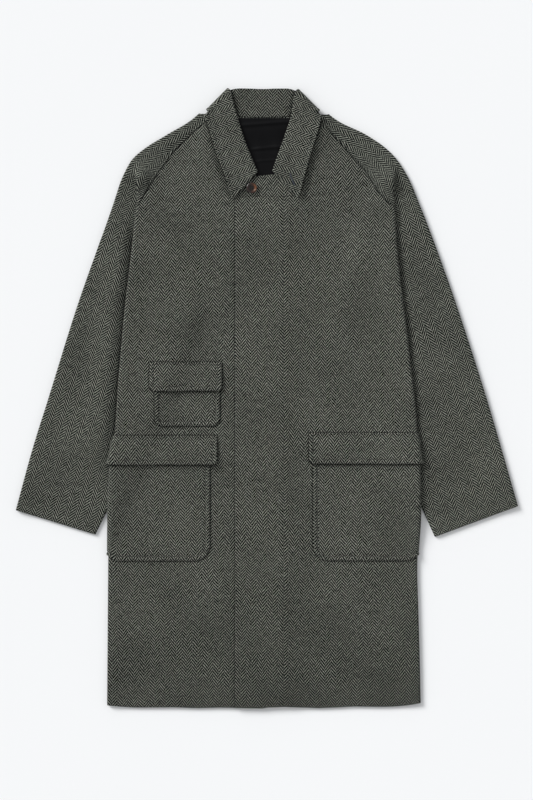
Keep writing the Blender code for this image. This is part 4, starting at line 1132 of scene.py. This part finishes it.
def collar(name):
    """Hairpin section of stand, rolled fold and fall, carried round the neck from end to end."""
    stand_n, roll_n = 8, 9
    stations = [(RIGHT, *row) for row in collar_stations(COLLAR_RIGHT)]
    stations += [(LEFT, *row) for row in collar_stations(COLLAR_LEFT)[::-1]]
    folds = np.array([[row[0]["sign"] * row[1], row[2]] for row in stations])
    grid, rims, flats = [], [], []
    for k, (side, m, y, below, stand, fall, turn) in enumerate(stations):
        sign = side["sign"]
        down, aside = -sin(radians(below)), cos(radians(below))
        run = folds[min(k + 1, len(folds) - 1)] - folds[max(k - 1, 0)]
        run = run / (np.linalg.norm(run) + 1e-9)
        across = abs(run[0] * down - run[1] * sign * aside)
        longer = min(1 / max(across, 0.4), 2.2) if turn in (0, 1) else 1.0
        q = np.array([sign * aside, down, 0.0])
        outward = np.array([sign * -down, aside, 0.0])
        seam = np.array([m, y]) + stand * np.array([aside, down])
        seam_z = float(front_level(side, seam[0], seam[1]))
        front_mid = (seam_z + LEAF_LAYER) / 2
        front_h = (LEAF_LAYER - seam_z) / 2
        back_mid = FLOOR_LAYER + PITCH / 2
        radius = (front_mid - back_mid) / 2
        h = front_h + (PITCH / 2 - front_h) * turn
        n = np.array([0, 0, 1.0]) * cos(pi * turn) + outward * sin(pi * turn)
        inset = h * longer + CLOTH / 2
        origin = np.array([sign * m, y, (front_mid + back_mid) / 2]) + q * inset + radius * n
        stand_to = np.linspace(stand - SEAM - inset, 0, stand_n + 1)[:-1, None]
        angle = np.linspace(0, pi, roll_n + 1)[:, None]
        length = fall - inset
        even = np.linspace(0, length - 12.5, FALL_COLUMNS - len(FALL_ENDS) + 1)[1:]
        fall_to = np.concatenate([even, length - FALL_ENDS])[:, None]
        leaf = (1 - turn) * smooth(0, 25, fall_to) * (1 - 0.3 * smooth(30, 60, fall_to))
        swell = 0.9 * leaf * np.sin(k / 9.0 + 0.6) * np.sin(fall_to / 16) + 0.5 * leaf
        edge = length - fall_to
        swell = swell - 1.0 * np.exp(-((edge - COLLAR_STITCH) / 1.6) ** 2)
        swell = swell + POINT_RISE * np.exp(-(edge / 9) ** 2) * (1 - turn)
        points = np.vstack([
            origin - h * n + q * stand_to,
            origin - h * np.cos(angle) * n - h * longer * np.sin(angle) * q,
            origin + h * n + q * fall_to + n * swell * (1 - turn)])
        grid.append(points)
        quarter = h * pi / 2
        flats.append(np.concatenate([-stand_to[:, 0] - quarter, h * (angle[:, 0] - pi / 2),
                                     fall_to[:, 0] + quarter]))
        far = np.full(len(points), NO_RIM)
        far[-len(fall_to):] = edge[:, 0]
        rims.append(far)
    middle = np.array(grid)
    rims = np.array(rims)
    for end in (middle[:1], middle[-1:]):
        off = np.linalg.norm(middle - end, axis=2)
        rims = np.minimum(rims, np.where(off < 12, off, NO_RIM))
    flats = np.array(flats)
    turns = np.array([row[6] for row in stations])
    weave = collar_grain(middle, folds, flats, turns)
    # Painted shade: the stand's inside behind the neck is darkened a little all over, and more towards the line
    # where it meets each side roll
    crease = np.where((turns == 1)[:, None] & (flats < 0), 3.0, CLEAR)
    for sign, line in ROLL_LINES.items():
        inside = np.interp(middle[..., 1], *line) - sign * middle[..., 0]
        here = (turns == 1)[:, None] & (flats < 0) & (sign * middle[..., 0] > 0)
        crease = np.where(here, np.minimum(crease, 0.7 * inside + 0.2), crease)
    piece = wall(name, middle, whole(middle), COLLAR_CLOTH, weave, rims, crease=crease)
    return piece, middle, turns


def collar_grain(middle, folds, flats, turns):
    """Place on the collar's cloth: flat turned copies of the two leaves, and of the part behind the neck.

    Behind the neck the stand's is x and the height under the fold. A leaf's is the distance
    along and across a line GRAIN off the middle line, and the fall carries it on round the
    side roll by the distance along each row, up to the seam at the back's middle.
    """
    plan = middle[..., :2]
    weave = np.zeros(plan.shape)
    behind = (turns == 1)[:, None] & (flats < 0)
    weave[behind] = (plan - (0, FOLD_TOP_Y))[behind]
    steps = np.linalg.norm(np.diff(middle, axis=0), axis=2)
    centre = int(np.argmin(np.where(turns == 1, np.abs(folds[:, 0] - BACK_MIDDLE_X), 1e9)))
    for sign in (-1, 1):
        leaf = np.flatnonzero((folds[:, 0] * sign > 0) & (turns == 0))
        joint = leaf[-1] if sign < 0 else leaf[0]
        q = np.array([sign * cos(GRAIN), -sin(GRAIN)])
        t = np.array([sign * sin(GRAIN), cos(GRAIN)])
        off = plan[leaf] - folds[joint]
        crease = ((folds[leaf] - folds[joint]) @ q)[:, None]
        down = off @ q
        down = np.where(flats[leaf] < 0, 2 * crease - down, down)
        start = folds[joint, 0] + sign * 15
        weave[leaf] = np.stack([start - sign * (off @ t), down], axis=-1)
        beyond = np.arange(joint + 1, centre + 1) if sign < 0 else np.arange(joint - 1, centre, -1)
        gone = np.zeros(middle.shape[1])
        for k in beyond:
            gone = gone + (steps[k - 1] if sign < 0 else steps[k])
            share = min(turns[k], 1)
            round_it = np.stack([weave[joint, :, 0] - sign * gone,
                                 weave[joint, :, 1] * (1 - share) + flats[k] * share], axis=-1)
            weave[k] = np.where(behind[k][:, None], weave[k], round_it)
    return weave


def collar_lines(middle, turns, edges):
    """Stitch lines of both leaves: along the outer edge at COLLAR_STITCH, then across the end."""
    lines = []
    for order in (np.arange(len(turns)), np.arange(len(turns))[::-1]):
        leaf = order[:np.argmax(turns[order] > 0)]
        fall = slice(-STITCH_COLUMNS, None)
        run = np.array([[np.interp(-COLLAR_STITCH, -far, points[:, c]) for c in (0, 1)]
                        for points, far in zip(middle[leaf][:, fall], edges[leaf])])
        ahead = run[6] - run[3]
        ahead = ahead / np.linalg.norm(ahead)
        end = middle[leaf[0]][fall][:, :2]
        far = np.linalg.norm(end - end[-1], axis=1)
        end = end[far > COLLAR_STITCH + 1.5] + ahead * COLLAR_STITCH
        beyond = (run - end[-1]) @ ahead > 1.0
        lines.append(np.vstack([end, run[beyond]]))
    return lines


collar_piece, collar_middle, collar_turns = collar("collar_band")
collar_edges = np.linalg.norm(collar_middle[:, -STITCH_COLUMNS:] - collar_middle[:, -1:], axis=2)
collar_rows = collar_lines(collar_middle, collar_turns, collar_edges)
collar_seam = stitches("collar_stitches", collar_rows, [collar_piece], thread)
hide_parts("collar")


# Neck lining. Smooth black lining over the inside of the back, which shows in the open neck
# and runs a short way under the fronts. It lies loose, in a few flat creases.
LINING = 1.0
satin = Paint("black_lining", (0.0045, 0.0045, 0.005), 0.42)
satin.shader.inputs["Specular IOR Level"].default_value = 0.08
satin_place = satin.on_cloth()
satin_mottle = satin.noise(satin_place, 0.05, 2.0)
satin.feed(Base_Color=satin.mix(satin_mottle, (0.003, 0.003, 0.0034), (0.0055, 0.0055, 0.0062)))
satin.bump(satin.noise(satin_place.vector("MULTIPLY", (3.0, 0.8, 1)), 1.0, 1.0), 0.12, 0.0002)
LINING_CREASES = [
    (-56, 1004, 50, 1010, 2.6, 2.0), (-56, 999, 50, 1004, 3.2, -0.5), (-30, 963, 34, 968, 2.4, 1.7),
    (-34, 958, 30, 962, 3.0, -0.4), (-22, 941, 22, 946, 2.0, 0.9), (-14, 990, -8, 925, 7, 0.5),
    (20, 985, 12, 925, 6, 0.4), (-50, 985, 44, 990, 9, 0.4),
]
# y, and x of both side edges
LINING_SIDES = np.array([
    (903, -34, 22), (915, -36, 24), (935, -40, 27), (960, -49, 36), (985, -58, 45), (1000, -62, 49),
    (1008, -64, 51), (1016.5, -66, 53)])
LINING_AIR = 0.4
lining_y = LINING_SIDES[:, 0]
yy = np.linspace(lining_y[0], lining_y[-1], 96)[:, None]
low_x = np.interp(yy, lining_y, LINING_SIDES[:, 1])
high_x = np.interp(yy, lining_y, LINING_SIDES[:, 2])
xx = low_x + (high_x - low_x) * np.linspace(0, 1, 72)
yy = yy + 0 * xx
zz = np.where(xx < 0, back_level(RIGHT, np.abs(xx), yy), back_level(LEFT, xx, yy))
zz = zz + CLOTH / 2 + LINING_AIR + LINING / 2
inside = smooth(0, 10, xx - low_x) * smooth(0, 10, high_x - xx)
zz = zz + np.maximum(creases(LINING_CREASES, xx, yy), -0.3) * inside
middle = np.stack([xx, yy, zz], axis=-1)
lining = wall("neck_lining_sheet", middle, whole(middle), LINING, middle[..., :2],
              np.full(xx.shape, NO_RIM), satin)
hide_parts("neck_lining")


# Patch pockets and flaps. Two hip pockets and a ticket pocket of tweed are stitched on the
# fronts, and a flap sewn on above each covers its mouth. The hip ones run round the side
# fold. All are made from the points of the front that they lie on, moved out.
POCKET_CLOTH = 1.8
FLAP_CLOTH = 2.0
POCKET_AIR = 0.5
STITCH_INSET = 7.4
TOP_ROW_DOWN = 3.2
ROLL_STEPS = 6
EDGE_COLUMNS = np.concatenate([CLOSE, [3.2, 5.0, 6.3, 7.4, 8.5, 10.0, 12.5]])


def on_front(side, y, m_list, roll_steps, off):
    """Points off the front's middle at the distances m, then round its side fold."""
    rows, middle, step = PANELS[side["sign"]]
    i = int(np.clip(np.searchsorted(rows, y) - 1, 0, len(rows) - 2))
    t = (y - rows[i]) / (rows[i + 1] - rows[i])
    row = middle[i] * (1 - t) + middle[i + 1] * t
    push = step[i] * (1 - t) + step[i + 1] * t
    top, turn = slice(None, TOP_COLUMNS + 1), slice(TOP_COLUMNS + 1, TOP_COLUMNS + 1 + roll_steps)
    m_col = row[top, 0] * side["sign"]

    def spread(values):
        level = np.stack([np.interp(m_list, m_col, values[top, k]) for k in range(3)], axis=-1)
        return np.vstack([level, values[turn]])

    return spread(row) + spread(push) * np.asarray(off)[..., None]


def sewn_edge(far, inset=STITCH_INSET):
    """Swell of a stitched edge: full beside the edge and inside, sunk along the stitch line."""
    return -1.2 * np.exp(-((far - inset) / 1.5) ** 2) + 0.9 * np.exp(-((far - inset / 2) / 2.2) ** 2)


def patch(name, spec, rows, insets, lifts, thick, radius):
    """Wall on the front between the inner and outer m of each row, its middle lifted off the front's.

    insets: how far each row is set in at a round corner, lifts: each row's height over the
    front's middle layer, radius: of the sewn lower corners, 0 where the patch hangs free.
    """
    side, shift, under = spec["side"], spec["shift"], spec.get("under")
    bottom, top = rows[0], rows[-1]
    grid, rims, weaves = [], [], []
    for y, inset, lift in zip(rows, insets, lifts):
        m_in = spec["inner"] + inset
        m_out = None if spec["outer"] is None else spec["outer"] - inset
        fold = float(fold_start(side, y))
        last = fold - 0.5 if m_out is None else m_out
        far_end = last - EDGE_COLUMNS[::-1] if m_out is not None else np.linspace(last - 15, last, 11)
        m_list = np.concatenate([m_in + EDGE_COLUMNS, np.linspace(m_in + 15, far_end[0] - 2.5, 34), far_end])
        roll = ROLL_STEPS if m_out is None else 0
        all_m = np.concatenate([m_list, np.full(roll, fold + 4.0)])
        climb = side_rise(side, all_m, y, bottom, m_out) * (radius > 0)
        base = on_front(side, y, m_list, roll, np.full(len(m_list) + roll, lift))
        run = way_along(base)
        far = run.copy()
        if m_out is not None:
            far = np.minimum(far, run[-1] - run)
        near_bottom = np.full(len(run), y - bottom)
        if radius:
            centre_in = spec["inner"] + radius
            mm = m_in + run
            gap_in = np.hypot(np.minimum(mm - centre_in, 0), min(y - bottom - radius, 0))
            far = np.where((mm < centre_in) & (y < bottom + radius), radius - gap_in, far)
            if m_out is not None:
                centre_out = spec["outer"] - radius
                gap_out = np.hypot(np.maximum(mm - centre_out, 0), min(y - bottom - radius, 0))
                far = np.where((mm > centre_out) & (y < bottom + radius), radius - gap_out, far)
        far = np.clip(np.minimum(far, near_bottom), 0, None)
        off = np.full(len(run), lift) + sewn_edge(far)
        laid = on_front(side, y, m_list, roll, off)
        laid[:, 1] += climb
        grid.append(laid)
        rims.append(np.minimum(far, top - y))
        weave_x = side["sign"] * (m_in + run) + shift[0]
        weaves.append(np.stack([weave_x, np.full(len(run), y + shift[1])], axis=-1))
    middle = np.array(grid)
    # Painted shade: a pocket's colour is darkened just below its flap's lower edge
    crease = None if under is None else middle[..., 1] * 0 + under + 0.3 - rows[:, None]
    return wall(name, middle, whole(middle), thick, np.array(weaves), np.array(rims), crease=crease)


def patch_pocket(name):
    """Patch pocket with round lower corners."""
    spec = PATCHES[name]
    bottom, radius = spec["bottom"], spec["radius"]
    low = bottom + radius * (1 - np.cos(np.linspace(0, pi / 2, 22)))
    rows = np.concatenate([low[:-1], fine(bottom + radius, spec["top"], 3.2, False, True)])
    drop = np.clip(radius - (rows - bottom), 0, None)
    inset = radius - np.sqrt(radius ** 2 - drop ** 2)
    lift = CLOTH / 2 + POCKET_AIR + POCKET_CLOTH / 2
    piece = patch(name + "_patch", spec, rows, inset, [lift] * len(rows), POCKET_CLOTH, radius)
    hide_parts(name)
    return piece


def flap(name):
    """Flap sewn on over the pocket's mouth, lying on the pocket below it."""
    spec = PATCHES[name]
    bottom, over_y, corner = spec["bottom"], spec["over"], spec["radius"]
    rows = fine(bottom, spec["top"], 2.2)
    low = CLOTH / 2 + SEAM + FLAP_CLOTH / 2
    high = CLOTH / 2 + POCKET_AIR + POCKET_CLOTH + POCKET_AIR + FLAP_CLOTH / 2
    drop = np.clip(1 - (rows - bottom) / corner, 0, 1)
    inset = corner * (1 - np.sqrt(1 - drop ** 2))
    loose = 3.0 * (1 - smooth(0, 24, rows - bottom))
    lifts = high + (low - high) * smooth(over_y, over_y + 6, rows) + loose
    piece = patch(name + "_cloth", spec, rows, inset, lifts, FLAP_CLOTH, 0)
    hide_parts(name)
    return piece


ticket_pocket = patch_pocket("ticket_pocket")
ticket_flap = flap("ticket_flap")
pocket_right = patch_pocket("hip_pocket_right")
flap_right = flap("hip_flap_right")
pocket_left = patch_pocket("hip_pocket_left")
flap_left = flap("hip_flap_left")


def sewn_line(spec, inset=STITCH_INSET):
    """Stitch line of a patch in plan: down one side, round the lower corners and up the other side."""
    side = spec["side"]
    bend = max(spec["radius"] - inset, 0.6)
    m0, low, top = spec["inner"] + inset, spec["bottom"] + inset, spec["sewn"] - 1.5
    turn = [(bend * (1 - cos(a)), bend * (1 - sin(a))) for a in np.linspace(0, pi / 2, 9)]
    left = [(m0, top), (m0, low + bend)] + [(m0 + a, low + b) for a, b in turn]
    if spec["outer"] is None:
        right = [(float(fold_start(side, low)) - 1, low)]
    else:
        m1 = spec["outer"] - inset
        right = [(m1 - b, low + a) for a, b in turn] + [(m1, top)]
    return np.array(left + right) * (side["sign"], 1)


# Ends in x of the row of stitches along the top of each flap
TOP_ROWS = {"ticket_flap": (-79, -199.5), "hip_flap_right": (-87, -256), "hip_flap_left": (74, 254)}
for piece in (ticket_pocket, ticket_flap, pocket_right, flap_right, pocket_left, flap_left):
    name = piece.name.rsplit("_", 1)[0]
    spec = PATCHES[name]
    lines = [sewn_line(spec)]
    if name in TOP_ROWS:
        lines.append([(x, spec["top"] - TOP_ROW_DOWN) for x in TOP_ROWS[name]])
    seam = stitches(piece.name + "_stitches", lines, [piece], thread)


# Button. A horn button with a rolled rim, a dished middle and four holes, sewn on with dark
# thread at the collar's foot. It closes the coat at the neck and stays as shown.
horn = Paint("horn", (0.03, 0.014, 0.008), 0.24)
horn_place = horn.in_space()
swirl = horn.noise(horn_place.vector("MULTIPLY", (1.0, 0.35, 1.0)), 260.0, 3.0)
flame = horn.ramp(swirl, 0.44, 0.66)
low, high = (np.array(corner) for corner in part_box("button"))
centre = (low + high) / 2
button_middle = (float(centre[0]), float(centre[1]), 0)
from_centre = horn_place.vector("SUBTRACT", button_middle).vector("MULTIPLY", (1, 1, 0))
around = from_centre.vector("LENGTH", output="Value")
# Painted highlight: a bright ring round the dished middle, strongest on the right side, mixed with the horn's
# own flame pattern into its dark colour
painted_rim_highlight = horn.ramp(around, 0.0032, 0.0052) * horn.ramp(around, 0.0078, 0.0094, 1.0, 0.15)
painted_side_highlight = horn.ramp(from_centre.part(0), -0.003, 0.006, 0.12, 1.0)
painted_highlight = painted_rim_highlight * painted_side_highlight * (0.35 + 0.65 * flame)
horn.feed(Base_Color=horn.mix(painted_highlight, (0.011, 0.007, 0.006), (0.135, 0.05, 0.019)))
horn.bump(swirl, 0.1, 0.0001)
radius = (high[0] - low[0]) / 2 / MM
thick = (high[2] - low[2]) / MM
BUTTON_SIDES = 96
HOLE_AWAY, HOLE_DEPTH = 1.7, 1.6
ring = np.array([0, 0.4, 0.8, 1.2, 1.6, 2.0, 2.4, 2.8, 3.2, 3.6, 4.2, 4.9, 5.4, 5.9, 6.6, 7.4, 8.1, 8.7, 9.1,
                 9.4]) / 9.4 * radius
share = ring / radius
dish = 1.5 * (1 - smooth(0.5, 0.68, share))
rise = thick - dish - 0.45 * smooth(0.86, 1.0, share) ** 2 - 0.25 * (1 - smooth(0, 0.5, share))
turn = np.arange(BUTTON_SIDES) * 2 * pi / BUTTON_SIDES
px, py = ring[:, None] * np.cos(turn), ring[:, None] * np.sin(turn)
pz = np.repeat(rise[:, None], BUTTON_SIDES, axis=1)
for hx, hy in ((1, 1), (-1, 1), (1, -1), (-1, -1)):
    off = np.hypot(px - hx * HOLE_AWAY, py - hy * HOLE_AWAY)
    pz = pz - HOLE_DEPTH * (1 - smooth(0.55, 1.0, off))
lower = np.array([(radius, thick * 0.7), (radius, thick * 0.4), (radius * 0.95, thick * 0.16),
                  (radius * 0.82, 0.05), (0.01, 0.05)])
under = np.stack([lower[:, :1] * np.cos(turn), lower[:, :1] * np.sin(turn),
                  np.repeat(lower[:, 1:], BUTTON_SIDES, axis=1)], axis=-1)
points = np.concatenate([np.stack([px, py, pz], axis=-1)[1:], under[:-1]])
rows, count = points.shape[:2]
k = np.arange(rows - 1)[:, None] * count
a = np.arange(count)
after = (a + 1) % count
faces = np.stack([k + a, k + count + a, k + count + after, k + after], axis=-1).reshape(-1, 4).tolist()
caps = [[i, (i + 1) % count, rows * count] for i in range(count)]
last = (rows - 1) * count
caps += [[last + (i + 1) % count, last + i, rows * count + 1] for i in range(count)]
points = np.vstack([points.reshape(-1, 3), [[0, 0, pz[0, 0]]], [[0, 0, 0.05]]])
foot = np.array([centre[0] / MM, centre[1] / MM + HALF_LENGTH, low[2] / MM])
button = make_piece("horn_button", points + foot, faces + caps, horn, sharp=40)
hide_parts("button")
cross = [np.array([(-2.3, y), (2.3, y)]) + foot[:2] for y in (-HOLE_AWAY, HOLE_AWAY)]
held = stitches("button_thread", cross, [button], thread, pitch=3.1, length=4.6, width=0.9, sink=0.25)


# Buttonhole on the collar. A short worked bar of blue-grey thread across the left leaf's point.
blue_thread = Paint("blue_grey_thread", (0.035, 0.045, 0.062), 0.55)
blue_mottle = blue_thread.noise(blue_thread.in_space(), 1200.0, 2.0)
blue_thread.feed(Base_Color=blue_thread.mix(blue_mottle, (0.008, 0.012, 0.02), (0.035, 0.045, 0.07)))
bar = np.array([(39.7, 921.1), (41.9, 914), (44.8, 907), (47.5, 900.5)])
hole = stitches("collar_buttonhole", [bar], [collar_piece], blue_thread, pitch=0.8, length=2.9, width=0.75,
                turn=pi / 2, sink=0.1)
